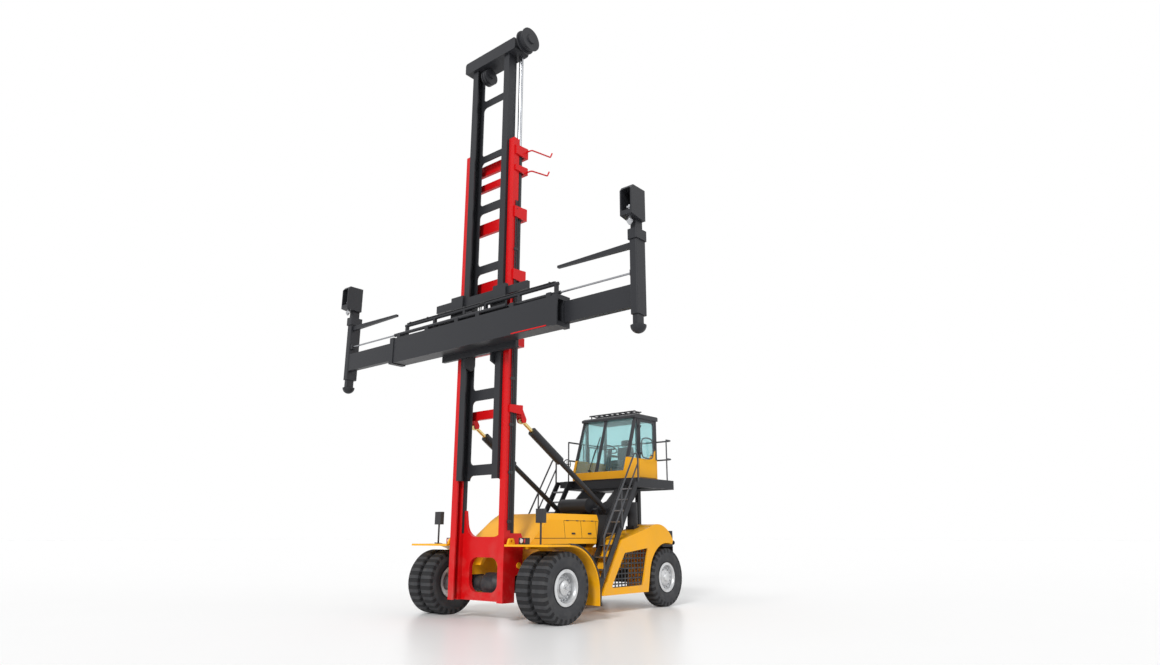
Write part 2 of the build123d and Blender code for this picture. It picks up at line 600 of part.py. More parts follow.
def tilt_rod():
    """Piston rod with the eye that takes the mast's pin with play."""
    shaft = rod(tilt_point(TILT_LENGTH - 900), tilt_point(TILT_LENGTH - 40), TILT_ROD_D)
    eye = rod((TILT_X - 40, TILT_TOP_Y, TILT_TOP_Z), (TILT_X + 40, TILT_TOP_Y, TILT_TOP_Z), TILT_PIN_D + 70)
    bore = rod((TILT_X - 41, TILT_TOP_Y, TILT_TOP_Z), (TILT_X + 41, TILT_TOP_Y, TILT_TOP_Z), TILT_PIN_D + 4)
    return joined(shaft, eye) - bore


# Carriage and spreader

def carriage():
    """Roller carriage: side plates in the upper mast's channels and the rails that carry the spreader."""
    groove = INNER_DEPTH - 2 * INNER_WALL - 2 * FIT
    groove_y = INNER_FRONT + INNER_DEPTH / 2
    inside = INNER_HALF - INNER_FLANGE - RUN
    face = BEAM_REAR + FIT
    cheek = along_x(outline((face, BEAM_BOTTOM - 330), (groove_y, BEAM_BOTTOM - 430, 60), (groove_y + 95, 5400, 60),
                            (groove_y + 95, 6900, 60), (groove_y, 6980, 60), (face, 6980)), inside - 40, inside)
    rollers = [roller(inside - 10, INNER_HALF - INNER_WALL - RUN, groove_y, z, groove)
               for z in (BEAM_BOTTOM - 310, 6860)]
    right = joined(cheek, *rollers)
    upper = along_x(outline((face, 6800), (INNER_FRONT - RUN, 6800), (INNER_FRONT - RUN, 6980), (face, 6980)),
                    -CARRIAGE_HALF, CARRIAGE_HALF)
    lower = along_x(outline((face, BEAM_BOTTOM - 140), (INNER_FRONT - RUN, BEAM_BOTTOM - 140),
                            (INNER_FRONT - RUN, BEAM_BOTTOM + 60), (face, BEAM_BOTTOM + 60)),
                    -CARRIAGE_HALF + 300, CARRIAGE_HALF - 300)
    apron = along_y(window(-inside, inside, BEAM_BOTTOM - 100, 6900, 80) -
                    window(80 - inside, inside - 80, BEAM_BOTTOM + 200, 6700, 120), face, INNER_FRONT - RUN)
    return joined(right, mirrored(right), upper, lower, apron)


def spreader_beam():
    """Main beam: two bays side by side, end collars and the shoes that hang on the carriage."""
    box = along_x(outline((BEAM_FRONT, BEAM_BOTTOM), (BEAM_REAR, BEAM_BOTTOM), (BEAM_REAR, BEAM_TOP),
                          (BEAM_FRONT, BEAM_TOP)), -BEAM_HALF, BEAM_HALF)
    bay = outline((FRONT_BAY, EXT_BOTTOM - FIT), (FRONT_BAY + EXT_DEPTH + RUN, EXT_BOTTOM - FIT),
                  (FRONT_BAY + EXT_DEPTH + RUN, EXT_TOP + RUN), (FRONT_BAY, EXT_TOP + RUN))
    box -= along_x(Pos(0, 0) * bay, -BEAM_HALF - 1, BEAM_HALF + 1)
    box -= along_x(Pos(REAR_BAY - RUN - FRONT_BAY, 0) * bay, -BEAM_HALF - 1, BEAM_HALF + 1)
    collar = along_x(outline((BEAM_FRONT - 20, BEAM_BOTTOM - 20), (BEAM_REAR, BEAM_BOTTOM - 20),
                             (BEAM_REAR, BEAM_TOP + 20), (BEAM_FRONT - 20, BEAM_TOP + 20)) -
                     outline((BEAM_FRONT, BEAM_BOTTOM), (BEAM_REAR - 5, BEAM_BOTTOM), (BEAM_REAR - 5, BEAM_TOP),
                             (BEAM_FRONT, BEAM_TOP)), BEAM_HALF - 140, BEAM_HALF)
    shoe = along_x(outline((BEAM_REAR - 60, BEAM_TOP), (BEAM_REAR - 60, 7040), (BEAM_REAR + 30, 7040),
                           (BEAM_REAR + 30, 6980 + FIT), (BEAM_REAR, 6980 + FIT), (BEAM_REAR, BEAM_TOP)),
                   500, 900)
    return joined(box, collar, mirrored(collar), shoe, mirrored(shoe))


def spreader_rails():
    """Telescope cylinder barrels, one in front of the other, and the hose rail above, on seats along the beam."""
    reach = BEAM_HALF - 70
    barrel_d = TELE_ROD_D + 40
    front = BEAM_FRONT + FRONT_ROD
    back = BEAM_FRONT + REAR_ROD
    barrels = []
    for y, way in ((front, -1), (back, 1)):
        tube = rod((way * reach, y, TELE_ROD_Z), (-way * TELE_TAIL, y, TELE_ROD_Z), barrel_d)
        bore = rod((way * (reach + 1), y, TELE_ROD_Z), (-way * (TELE_TAIL - 60), y, TELE_ROD_Z), TELE_ROD_D + 2 * FIT)
        barrels.append((tube, bore))
    rail_y = BEAM_FRONT + 270
    parts = []
    for x in (-2450, -1400, -350, 350, 1400, 2450):
        parts.append(block(x - 60, x + 60, front - 50, rail_y + 45, BEAM_TOP, TELE_ROD_Z))
        parts.append(block(x - 35, x + 35, rail_y - 35, rail_y + 35, TELE_ROD_Z - 10, 6640))
    rail = rod((-2500, rail_y, 6650), (2500, rail_y, 6650), 80)
    whole = joined(barrels[0][0], barrels[1][0], rail, *parts)
    return whole - barrels[0][1] - barrels[1][1]


def telescope(bay_y, rod_y):
    """Sliding end of the spreader: beam, column, twistlock head, lower leg, bumper foot and hose arm."""
    inner_end = COLUMN_X - 2 * BEAM_HALF + 900
    beam = along_x(outline((bay_y, EXT_BOTTOM), (bay_y + EXT_DEPTH - RUN, EXT_BOTTOM),
                           (bay_y + EXT_DEPTH - RUN, EXT_TOP), (bay_y, EXT_TOP)), inner_end, COLUMN_X - COLUMN_W / 2)
    hollow = along_x(outline((bay_y + EXT_WALL, EXT_BOTTOM + EXT_WALL),
                             (bay_y + EXT_DEPTH - RUN - EXT_WALL, EXT_BOTTOM + EXT_WALL),
                             (bay_y + EXT_DEPTH - RUN - EXT_WALL, EXT_TOP - EXT_WALL),
                             (bay_y + EXT_WALL, EXT_TOP - EXT_WALL)), inner_end - 1, COLUMN_X - 200)
    x0 = COLUMN_X - COLUMN_W / 2
    x1 = COLUMN_X + COLUMN_W / 2
    rear = BEAM_FRONT + COLUMN_DEPTH
    column = along_z(window(x0, x1, BEAM_FRONT, rear, 25), COLUMN_BOTTOM, COLUMN_TOP)
    collar = along_z(window(x0 - 25, x1 + 25, BEAM_FRONT - 25, rear + 15, 25), COLUMN_TOP, COLUMN_TOP + 200)
    neck = along_z(window(x0 + 15, x1 - 15, BEAM_FRONT + 20, rear - 60, 20), COLUMN_TOP + 200, HEAD_BOTTOM)
    leg = along_z(window(x0 + 20, x1 - 20, BEAM_FRONT + 30, rear - 70, 20), COLUMN_BOTTOM - 200, COLUMN_BOTTOM)
    foot_y = (BEAM_FRONT + rear) / 2 - 20
    foot = Pos(COLUMN_X, foot_y, COLUMN_BOTTOM - 200) * (Sphere(150) - Pos(0, 0, 150) * Box(310, 310, 300))
    head = along_x(outline((HEAD_FRONT, HEAD_BOTTOM + 40), (BEAM_FRONT + 60, HEAD_BOTTOM), (rear - 60, HEAD_BOTTOM),
                           (rear - 60, HEAD_TOP), (HEAD_FRONT + 60, HEAD_TOP), (HEAD_FRONT, HEAD_TOP - 80)),
                   COLUMN_X - HEAD_W / 2, COLUMN_X + HEAD_W / 2)
    head -= along_y(window(COLUMN_X - HEAD_W / 2 + 30, COLUMN_X + HEAD_W / 2 - 30, HEAD_BOTTOM + 130,
                           HEAD_TOP - 50, 40), HEAD_FRONT - 1, BEAM_FRONT + 100)
    head -= rod((COLUMN_X, HEAD_FRONT + 120, HEAD_BOTTOM - 1), (COLUMN_X, HEAD_FRONT + 120, HEAD_BOTTOM + 200),
                TWIST_PIN_D + 2 * FIT)
    arm_y = BEAM_FRONT + 60
    arm = along_y(outline((x0 + 5, ARM_Z - 60), (x0 + 5, ARM_Z + 60), (2650, ARM_Z + 30), (2650, ARM_Z - 20)),
                  arm_y, arm_y + 70)
    y = BEAM_FRONT + rod_y
    lug = block(x0 - 90, x0 + 5, y - 45, y + 45, TELE_ROD_Z - 60, TELE_ROD_Z + 60)
    lug -= rod((x0 - 91, y, TELE_ROD_Z), (x0 - 30, y, TELE_ROD_Z), TELE_ROD_D)
    return joined(beam - hollow, column, collar, neck, leg, foot, head, arm, lug)


def telescope_rod(rod_y):
    y = BEAM_FRONT + rod_y
    return rod((TELE_ROD_FOOT, y, TELE_ROD_Z), (COLUMN_X - COLUMN_W / 2 - 30, y, TELE_ROD_Z), TELE_ROD_D)


def twistlock():
    """Twistlock: shaft in the head, crank on top and the pointed cross bar below."""
    y = HEAD_FRONT + 120
    shaft = rod((COLUMN_X, y, HEAD_BOTTOM - 60), (COLUMN_X, y, HEAD_BOTTOM + 260), TWIST_PIN_D)
    crank = block(COLUMN_X - 35, COLUMN_X + 35, y - 40, y + 90, HEAD_BOTTOM + 200, HEAD_BOTTOM + 240)
    bar = Pos(COLUMN_X, y, HEAD_BOTTOM - 130) * loft([Rectangle(30, 24), Pos(0, 0, 60) * Rectangle(104, 56),
                                                      Pos(0, 0, 100) * Rectangle(104, 56)], ruled=True)
    return joined(shaft, crank, bar)


# Cab and access

def cab_base():
    """Yellow tub of the cab: floor, sills and the low nose under the windscreen."""
    def tub(inset, lift):
        top = CAB_SILL + lift
        return along_x(outline((CAB_NOSE + inset, CAB_FLOOR + inset), (CAB_NOSE + inset, CAB_NOSE_SILL),
                               (CAB_NOSE + inset + SCREEN_LEAN * (top - CAB_NOSE_SILL), top),
                               (CAB_REAR - inset, top), (CAB_REAR - inset, CAB_FLOOR + inset)),
                       inset - CAB_HALF, CAB_HALF - inset)
    shell = tub(0, 0) - tub(CAB_WALL, 100)
    shell -= block(PILLAR - CAB_HALF, CAB_HALF - PILLAR, CAB_NOSE - 1, CAB_NOSE + 250, CAB_NOSE_SILL, CAB_SILL + 1)
    return shell - block(CAB_HALF - CAB_WALL - 1, CAB_HALF + 1, DOOR_FRONT, DOOR_REAR, CAB_FLOOR + CAB_WALL,
                         CAB_SILL + 1)


def screen_profile(offset_y, thick, z0, z1):
    """Side view of a slab that leans with the windscreen."""
    y0 = CAB_NOSE + offset_y + SCREEN_LEAN * (z0 - CAB_NOSE_SILL)
    y1 = CAB_NOSE + offset_y + SCREEN_LEAN * (z1 - CAB_NOSE_SILL)
    return outline((y0, z0), (y0 + thick, z0), (y1 + thick, z1), (y1, z1))


def cab_frame():
    """Pillars, sill rails and roof of the cab, with the windscreen's centre post."""
    inner = CAB_HALF - PILLAR
    front = along_x(screen_profile(0, PILLAR, CAB_SILL, CAB_EAVES + 20), inner, CAB_HALF)
    middle = block(inner, CAB_HALF, DOOR_FRONT - PILLAR, DOOR_FRONT - 5, CAB_SILL, CAB_EAVES + 20)
    rear = block(inner, CAB_HALF, DOOR_REAR + 5, CAB_REAR, CAB_SILL, CAB_EAVES + 20)
    posts = joined(front, middle, rear)
    mullion = along_x(screen_profile(0, 50, CAB_NOSE_SILL, CAB_EAVES + 20), -130, -50)
    roof = along_x(outline((CAB_BROW - 40, CAB_EAVES), (CAB_BROW - 50, CAB_EAVES + 60, 20),
                           (CAB_BROW + 60, CAB_EAVES + CAB_ROOF_H, 40), (CAB_REAR + 50, CAB_EAVES + CAB_ROOF_H, 30),
                           (CAB_REAR + 50, CAB_EAVES)), -CAB_HALF - 20, CAB_HALF + 20)
    hinge = [rod((HINGE_X, HINGE_Y, z - 10), (HINGE_X, HINGE_Y, z + 70), HINGE_PIN_D) for z in HINGE_HEIGHTS]
    leaves = [block(CAB_HALF - 5, HINGE_X + 14, HINGE_Y - 40, HINGE_Y + 10, z - 25, z) for z in HINGE_HEIGHTS]
    return joined(posts, mirrored(posts), mullion, roof, *hinge, *leaves)


def cab_glass():
    """Panes: windscreen in two lights, quarter lights, right-hand side light and rear light."""
    inner = CAB_HALF - PILLAR
    lights = [along_x(screen_profile(20, GLASS, CAB_NOSE_SILL + FIT, CAB_EAVES - FIT), a, b)
              for a, b in ((-inner + FIT, -130 - FIT), (-50 + FIT, inner - FIT))]
    pillar_rear = CAB_NOSE + PILLAR + 12
    post = DOOR_FRONT - PILLAR - FIT
    tip = post - 15
    tip_z = CAB_NOSE_SILL + (tip - pillar_rear) / SCREEN_LEAN
    foot = pillar_rear + SCREEN_LEAN * (CAB_SILL - CAB_NOSE_SILL)
    quarter = along_x(outline((foot, CAB_SILL + FIT), (post, CAB_SILL + FIT), (post, tip_z), (tip, tip_z)),
                      CAB_HALF - 40, CAB_HALF - 40 + GLASS)
    side = block(40 - GLASS - CAB_HALF, 40 - CAB_HALF, DOOR_FRONT + FIT - 5, DOOR_REAR + 5 - FIT, CAB_SILL + FIT,
                 CAB_EAVES - FIT)
    back = block(FIT - inner, inner - FIT, CAB_REAR - 40, CAB_REAR - 40 + GLASS, CAB_SILL - FIT + 1, CAB_EAVES - FIT)
    return Compound(children=[*[light.solid() for light in lights], quarter.solid(), mirrored(quarter).solid(),
                              side.solid(), back.solid()])


def roof_guard():
    """Ladder-like guard bars on the cab roof."""
    top = CAB_EAVES + CAB_ROOF_H + 90
    rails = [rod((-CAB_HALF + 100, y, top), (CAB_HALF - 100, y, top), 36) for y in (CAB_BROW + 150, CAB_BROW + 420)]
    rungs = [rod((x, CAB_BROW + 150, top), (x, CAB_BROW + 420, top), 30) for x in range(-720, 721, 180)]
    legs = [rod((x, y, CAB_EAVES + CAB_ROOF_H), (x, y, top), 30) for x in (-700, 700)
            for y in (CAB_BROW + 150, CAB_BROW + 420)]
    return joined(rails[0], rails[1], *rungs, *legs)


def cab_door():
    """Door frame with its window and the hinge eyes on the front edge."""
    leaf = along_x(window(DOOR_FRONT + 5, DOOR_REAR - 5, CAB_FLOOR + CAB_WALL + 5, CAB_EAVES - 8, 30) -
                   window(DOOR_FRONT + 75, DOOR_REAR - 75, CAB_FLOOR + 220, CAB_EAVES - 80, 60),
                   CAB_HALF - CAB_WALL + 2, CAB_HALF - 2)
    for z in HINGE_HEIGHTS:
        strap = block(CAB_HALF + 4, HINGE_X + 10, HINGE_Y, DOOR_FRONT + 70, z + FIT, z + 60)
        foot = block(CAB_HALF - 10, HINGE_X + 10, DOOR_FRONT + 12, DOOR_FRONT + 70, z + FIT, z + 60)
        eye = rod((HINGE_X, HINGE_Y, z + FIT), (HINGE_X, HINGE_Y, z + 60), HINGE_PIN_D + 16)
        bore = rod((HINGE_X, HINGE_Y, z), (HINGE_X, HINGE_Y, z + 61), HINGE_PIN_D + 2 * FIT)
        leaf = joined(leaf, strap, foot, eye) - bore
    return leaf


def door_glass():
    return along_x(window(DOOR_FRONT + 75 + FIT, DOOR_REAR - 75 - FIT, CAB_FLOOR + 220 + FIT, CAB_EAVES - 80 - FIT, 60),
                   CAB_HALF - 30, CAB_HALF - 30 + GLASS)


def cab_seat():
    """Operator's seat on its box."""
    floor = CAB_FLOOR + CAB_WALL
    return along_x(outline((4330, floor), (4740, floor), (4740, floor + 330), (4800, floor + 420),
                           (4880, floor + 1050, 35), (4790, floor + 1080, 35), (4690, floor + 520),
                           (4300, floor + 500, 40), (4300, floor + 400, 40), (4330, floor + 330)), -260, 260)


def steering_column():
    """Raked column with the steering wheel."""
    floor = CAB_FLOOR + CAB_WALL
    column = along_x(outline((3900, floor), (4000, floor), (4125, floor + 745), (4065, floor + 765)), -45, 45)
    hub = Pos(0, 4090, floor + 760) * Rot(-28, 0, 0)
    return joined(column, hub * Torus(190, 16), hub * Box(380, 40, 20))


def cab_support():
    """Pedestal on the frame: raked side plates, cross tube with the tilt cylinder pins and rear props."""
    plate = along_x(outline((2830, FRAME_TOP), (FRAME_REAR - 10, FRAME_TOP), (4050, 2300), (4600, PLATFORM_H + 2610),
                            (3660, PLATFORM_H + 2610), (3250, 2500), (2900, 2380, 80), (2800, 2180, 80)),
                    FRAME_HALF - 110, FRAME_HALF - 50)
    rear = block(NECK_HALF - 110, NECK_HALF - 10, 4780, 4900, WEIGHT_TOP, CAB_FLOOR - PLATFORM_H)
    tube = rod((0, TILT_FOOT_Y, TILT_FOOT_Z), (TILT_X - 75, TILT_FOOT_Y, TILT_FOOT_Z), TILT_PIN_D + 80)
    pin = rod((0, TILT_FOOT_Y, TILT_FOOT_Z), (TILT_X + 60, TILT_FOOT_Y, TILT_FOOT_Z), TILT_PIN_D)
    right = joined(plate, tube, pin)
    shelf = block(-FRAME_HALF + 60, FRAME_HALF - 60, 3700, 4560, CAB_FLOOR - PLATFORM_H - 60, CAB_FLOOR - PLATFORM_H)
    brace = block(-FRAME_HALF + 60, FRAME_HALF - 60, 3200, 3280, FRAME_TOP + 300, 2400)
    posts = joined(right, mirrored(right), shelf, brace)
    return Compound(children=[*posts.solids(), *pair(rear).solids()])


def platform():
    """Cab platform: deck plate with a deep rim, and ribs where the pedestal and the rear props meet it."""
    z0 = CAB_FLOOR - PLATFORM_H
    plan = outline((-PLATFORM_HALF, PLATFORM_FRONT), (PLATFORM_HALF, PLATFORM_FRONT),
                   (PLATFORM_HALF, PLATFORM_REAR, 60), (-PLATFORM_HALF, PLATFORM_REAR, 60))
    tray = along_z(plan, z0, CAB_FLOOR) - along_z(offset(plan, amount=-60), z0 - 1, CAB_FLOOR - 60)
    ribs = [block(30 - PLATFORM_HALF, PLATFORM_HALF - 30, y, y + 100, z0, CAB_FLOOR - 30) for y in (3760, 4440, 4790)]
    return joined(tray, *ribs)


def stairs():
    """Raked stairs: two channel stringers with open treads between them."""
    def rake(z, push):
        return STAIR_FOOT_Y + (z - STAIR_FOOT_Z) / STAIR_SLOPE + push
    top = CAB_FLOOR - 20
    stringer = outline((rake(STAIR_FOOT_Z, -90), STAIR_FOOT_Z), (rake(STAIR_FOOT_Z, 70), STAIR_FOOT_Z),
                       (rake(top, 70), top), (rake(top, -90), top))
    sides = [along_x(stringer, x, x + 40) for x in (STAIR_INNER, STAIR_OUTER - 40)]
    rise = (top - STAIR_FOOT_Z) / (STAIR_STEPS + 1)
    treads = [block(STAIR_INNER + 20, STAIR_OUTER - 20, rake(STAIR_FOOT_Z + rise * i, -80),
                    rake(STAIR_FOOT_Z + rise * i, 90), STAIR_FOOT_Z + rise * i - 30, STAIR_FOOT_Z + rise * i)
              for i in range(1, STAIR_STEPS + 1)]
    hanger = block(PLATFORM_HALF - 330, PLATFORM_HALF, rake(top, -60), PLATFORM_FRONT, top - 160, top)
    prop = block(FRAME_HALF, STAIR_INNER + 20, rake(1180, -60), rake(1180, 40), 1130, 1230)
    return pair(joined(sides[0], sides[1], hanger, prop, *treads))


def handrails():
    """Tube rails round the platform and along the stairs."""
    z = CAB_FLOOR
    edge = PLATFORM_HALF - 40
    rear_y = PLATFORM_REAR - 40
    rails = []
    for height in (560, 1050):
        rails.append(pipe([(edge, 5020, z + height), (edge, rear_y, z + height), (-edge, rear_y, z + height),
                           (-edge, 3760, z + height)], RAIL_D, 80))
    posts = [rod((x, y, z), (x, y, z + 1050), POST_D) for x, y in
             ((edge, 5020), (-edge, 5020), (-edge, 4400), (-edge, 3760), (600, rear_y), (-600, rear_y))]
    frame = joined(rails[0], rails[1], *posts)

    def rake(height):
        return STAIR_FOOT_Y + (height - STAIR_FOOT_Z) / STAIR_SLOPE
    x = STAIR_OUTER + RAIL_D / 2 + FIT
    low, high = 760, CAB_FLOOR - 120
    top = pipe([(x, rake(low), low), (x, rake(low), low + 900), (x, rake(high), high + 900), (x, rake(high), high)],
               RAIL_D, 90)
    knee = rod((x, rake(low), low + 450), (x, rake(high), high + 450), POST_D)
    middle = (low + high) / 2
    post = rod((x, rake(middle), middle), (x, rake(middle), middle + 900), POST_D)
    stair = joined(top, knee, post)
    return Compound(children=[*frame.solids(), *stair.solids(), *mirrored(stair).solids()])


def lamps():
    """Work lamps: two on the hood's nose, two on the fenders and a post with a box."""
    z = FENDER_TOP
    lamp = block(FENDER_INNER + 130, FENDER_INNER + 330, -320, -200, z, z + 130)
    lens = rod((FENDER_INNER + 230, -319, z + 70), (FENDER_INNER + 230, -335, z + 70), 90)
    post = rod((WIDTH_OVER_FRONT / 2 - 500, -260, z), (WIDTH_OVER_FRONT / 2 - 500, -260, z + 700), 40)
    mirror_box = block(WIDTH_OVER_FRONT / 2 - 600, WIDTH_OVER_FRONT / 2 - 400, -310, -210, z + 420, z + 700)
    left = [joined(lamp, lens), joined(post, mirror_box)]
    return Compound(children=[*[s.solid() for s in left], *[mirrored(s).solid() for s in left]])


def air_cleaner():
    """Air cleaner canister across the machine behind the hood, on its bracket."""
    y, z = 2690, HOOD_TOP + 230
    can = rod((-420, y, z), (420, y, z), 330)
    seat = TILT_FOOT_Y - (TILT_PIN_D + 80) / 2 - FIT
    bracket = block(-200, 200, y - 60, seat, TILT_FOOT_Z - 30, TILT_FOOT_Z + 30)
    return joined(can, bracket)


def exhaust_stack():
    """Upright silencer on the rear body's deck."""
    y = 3800
    can = rod((BODY_INNER + 180, y, 1760), (BODY_INNER + 180, y, 2480), 250)
    pad = block(BODY_INNER + 60, BODY_INNER + 300, y - 120, y + 120, 1760, 1905)
    return joined(can, pad) - along_x(body_outline(), BODY_INNER, BODY_HALF)


os.makedirs("parts", exist_ok=True)

save("main_frame", main_frame())
save("front_axle", front_axle())
save("steer_axle", steer_axle())
save("engine_block", engine_block())
save("hood", hood())
save("front_fender_left", front_fender())
save("front_fender_right", mirrored(front_fender()))
save("side_body_left", side_body())
save("side_body_right", mirrored(side_body()))
save("side_grilles", pair(side_grille()))
save("counterweight", counterweight())
save("cab_support", cab_support())
save("platform", platform())
save("stairs", stairs())
save("handrails", handrails())
save("cab_base", cab_base())
save("cab_frame", cab_frame())
save("cab_glass", cab_glass())
save("roof_guard", roof_guard())
save("cab_seat", cab_seat())
save("steering_column", steering_column())
save("lamps", lamps())
save("air_cleaner", air_cleaner())
save("exhaust_stack", exhaust_stack())
save("cab_door", cab_door())
save("door_glass", door_glass())
save("outer_mast", outer_mast())
save("lift_barrels", lift_barrels())
save("hose_arms", hose_arms())
save("inner_mast", inner_mast())
save("lift_rods", lift_rods())
save("hose_drum", hose_drum())
save("carriage", carriage())
save("spreader_beam", spreader_beam())
save("spreader_rails", spreader_rails())
for side, place, bay in (("left", lambda shape: shape, (REAR_BAY, REAR_ROD)),
                         ("right", mirrored, (FRONT_BAY, FRONT_ROD))):
    save(f"front_tyres_{side}", place(front_tyres()))
    save(f"front_rims_{side}", place(front_rims()))
    save(f"rear_tyre_{side}", place(rear_wheel_tyre()))
    save(f"rear_rim_{side}", place(rear_wheel_rim()))
    save(f"knuckle_{side}", place(knuckle()))
    save(f"tilt_barrel_{side}", place(tilt_barrel()))
    save(f"tilt_rod_{side}", place(tilt_rod()))
    save(f"telescope_{side}", place(telescope(*bay)))
    save(f"telescope_rod_{side}", place(telescope_rod(bay[1])))
    save(f"twistlock_{side}", place(twistlock()))
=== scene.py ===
import json
import math

import bmesh
import bpy
from mathutils import Matrix, Vector


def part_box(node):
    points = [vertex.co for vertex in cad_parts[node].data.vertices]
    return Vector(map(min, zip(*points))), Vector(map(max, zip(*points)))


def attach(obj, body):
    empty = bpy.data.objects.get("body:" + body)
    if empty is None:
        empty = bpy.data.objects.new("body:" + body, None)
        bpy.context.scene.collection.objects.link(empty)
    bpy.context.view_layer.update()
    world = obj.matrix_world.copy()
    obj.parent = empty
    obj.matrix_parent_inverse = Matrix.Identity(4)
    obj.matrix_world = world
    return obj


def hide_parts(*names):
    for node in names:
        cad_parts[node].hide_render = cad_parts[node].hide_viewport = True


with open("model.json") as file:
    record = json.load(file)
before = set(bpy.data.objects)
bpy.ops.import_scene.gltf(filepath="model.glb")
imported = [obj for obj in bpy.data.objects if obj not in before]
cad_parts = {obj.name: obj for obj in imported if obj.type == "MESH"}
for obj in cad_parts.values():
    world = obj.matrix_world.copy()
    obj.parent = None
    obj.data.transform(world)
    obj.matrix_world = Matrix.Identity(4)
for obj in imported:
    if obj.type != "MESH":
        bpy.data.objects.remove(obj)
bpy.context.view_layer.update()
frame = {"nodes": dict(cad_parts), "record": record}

NODES = frame["nodes"]
SIDES = {"left": 1, "right": -1}

# Camera of the picture: place, heading, upward pitch, lens for a 36 mm sensor
CAMERA_PLACE = Vector((12.045, -13.789, 1.652))
CAMERA_HEADING = math.radians(39.88)
CAMERA_PITCH = math.radians(15.405)
CAMERA_LENS = 23.0

FRONT_AXLE_Y = -2.224
REAR_AXLE_Y = 2.406
HUB_Z = 0.685


# Finishes

class Shade:
    """A node's socket in a Python expression; every operator adds its Math node."""

    def __init__(self, finish, socket):
        self.finish = finish
        self.socket = socket

    def math(self, operation, first, second):
        return self.finish.node("ShaderNodeMath", {"operation": operation}, {0: first, 1: second})

    def __add__(self, other):
        return self.math("ADD", self, other)

    def __sub__(self, other):
        return self.math("SUBTRACT", self, other)

    def __rsub__(self, other):
        return self.math("SUBTRACT", other, self)

    def __mul__(self, other):
        return self.math("MULTIPLY", self, other)

    def limit(self, low, high):
        """The value spread from low..high to 0..1 and held there."""
        return self.finish.node("ShaderNodeMapRange", {"clamp": True},
                                {"Value": self, "From Min": low, "From Max": high})


class Finish:
    """A procedural material: node() adds any node, close() ends it with a Principled shader."""

    def __init__(self, name):
        self.material = bpy.data.materials.new(name)
        self.material.use_nodes = True
        self.tree = self.material.node_tree
        self.tree.nodes.clear()
        self.place = self.node("ShaderNodeTexCoord", output="Object")

    def node(self, kind, settings=None, inputs=None, output=0):
        made = self.tree.nodes.new(kind)
        for key, value in (settings or {}).items():
            setattr(made, key, value)
        for key, value in (inputs or {}).items():
            if isinstance(value, Shade):
                self.tree.links.new(value.socket, made.inputs[key])
            else:
                made.inputs[key].default_value = value
        return Shade(self, made.outputs[output]) if made.outputs else None

    def noise(self, scale, detail=3.0, stretch=(1, 1, 1)):
        where = self.node("ShaderNodeMapping", {}, {"Vector": self.place, "Scale": stretch})
        return self.node("ShaderNodeTexNoise", {}, {"Vector": where, "Scale": scale, "Detail": detail})

    def height(self):
        return self.node("ShaderNodeSeparateXYZ", {}, {0: self.place}, "Z")

    def mix(self, share, first, second):
        first, second = ((*c, 1) if isinstance(c, tuple) else c for c in (first, second))
        return self.node("ShaderNodeMix", {"data_type": "RGBA"}, {0: share, 6: first, 7: second}, 2)

    def bump(self, height, depth):
        return self.node("ShaderNodeBump", {}, {"Height": height, "Distance": depth})

    def close(self, **sockets):
        inputs = {k.replace("_", " "): v for k, v in sockets.items()}
        shader = self.node("ShaderNodeBsdfPrincipled", {}, inputs)
        self.node("ShaderNodeOutputMaterial", {}, {"Surface": shader})
        return self


def shaded(colour, factor):
    return tuple(c * factor for c in colour)


def machine_paint(name, colour, gloss, dust=0.25):
    """Sprayed enamel: faint cloudiness, orange peel, and dust that thins out above the ground."""
    f = Finish(name)
    cloud = f.noise(0.9)
    tone = f.mix(cloud, shaded(colour, 0.9), shaded(colour, 1.06))
    speck = f.noise(26.0, 6.0).limit(0.56, 0.72)
    low = 1 - f.height().limit(0.2, 1.9)
    dirt = (speck * 0.35 + f.noise(3.0, 5.0).limit(0.45, 0.75)) * low * dust
    base = f.mix(dirt, tone, (0.33, 0.30, 0.26))
    peel = f.noise(160.0, 1.0)
    return f.close(Base_Color=base, Roughness=cloud * 0.10 + dirt * 0.4 + gloss,
                   Normal=f.bump(peel, 0.0004), Specular_IOR_Level=0.22)


def casting_paint(name, colour):
    """Thick paint over a sand casting."""
    f = Finish(name)
    grain = f.noise(55.0, 6.0)
    tone = f.mix(f.noise(1.4), shaded(colour, 0.85), shaded(colour, 1.12))
    return f.close(Base_Color=tone, Roughness=grain * 0.2 + 0.5, Normal=f.bump(grain, 0.003),
                   Specular_IOR_Level=0.25)


TYRE_BARS = 28.0
SHOULDER_START = 0.575
SHOULDER_FULL = 0.6


def tyre_rubber(name, axle_y):
    """Dull black rubber: bars across a tyre's shoulders with painted shade in their grooves, moulding grain
    and a film of dust.
    """
    f = Finish(name)
    across = f.node("ShaderNodeSeparateXYZ", {}, {0: f.place}, "Y") - axle_y
    up = f.height() - HUB_Z
    turn = f.node("ShaderNodeMath", {"operation": "ARCTAN2"}, {0: up, 1: across})
    wave = f.node("ShaderNodeMath", {"operation": "SINE"}, {0: turn * TYRE_BARS})
    reach = f.node("ShaderNodeMath", {"operation": "SQRT"}, {0: across * across + up * up})
    bars = wave.limit(-0.25, 0.25)
    groove_depth_and_shade = (1 - bars) * reach.limit(SHOULDER_START, SHOULDER_FULL)
    grain = f.noise(90.0, 4.0)
    dust = f.noise(5.0, 6.0).limit(0.42, 0.7) * 0.3
    worn = f.mix(dust, (0.040, 0.041, 0.045), (0.10, 0.098, 0.095))
    # the grooves get a near-black colour as painted shade; the same mask also sinks them in the bump
    tone = f.mix(groove_depth_and_shade * 0.8, worn, (0.008, 0.008, 0.009))
    return f.close(Base_Color=tone, Roughness=grain * 0.15 + 0.72, Normal=f.bump(grain * 0.05 - groove_depth_and_shade, 0.02),
                   Specular_IOR_Level=0.3)


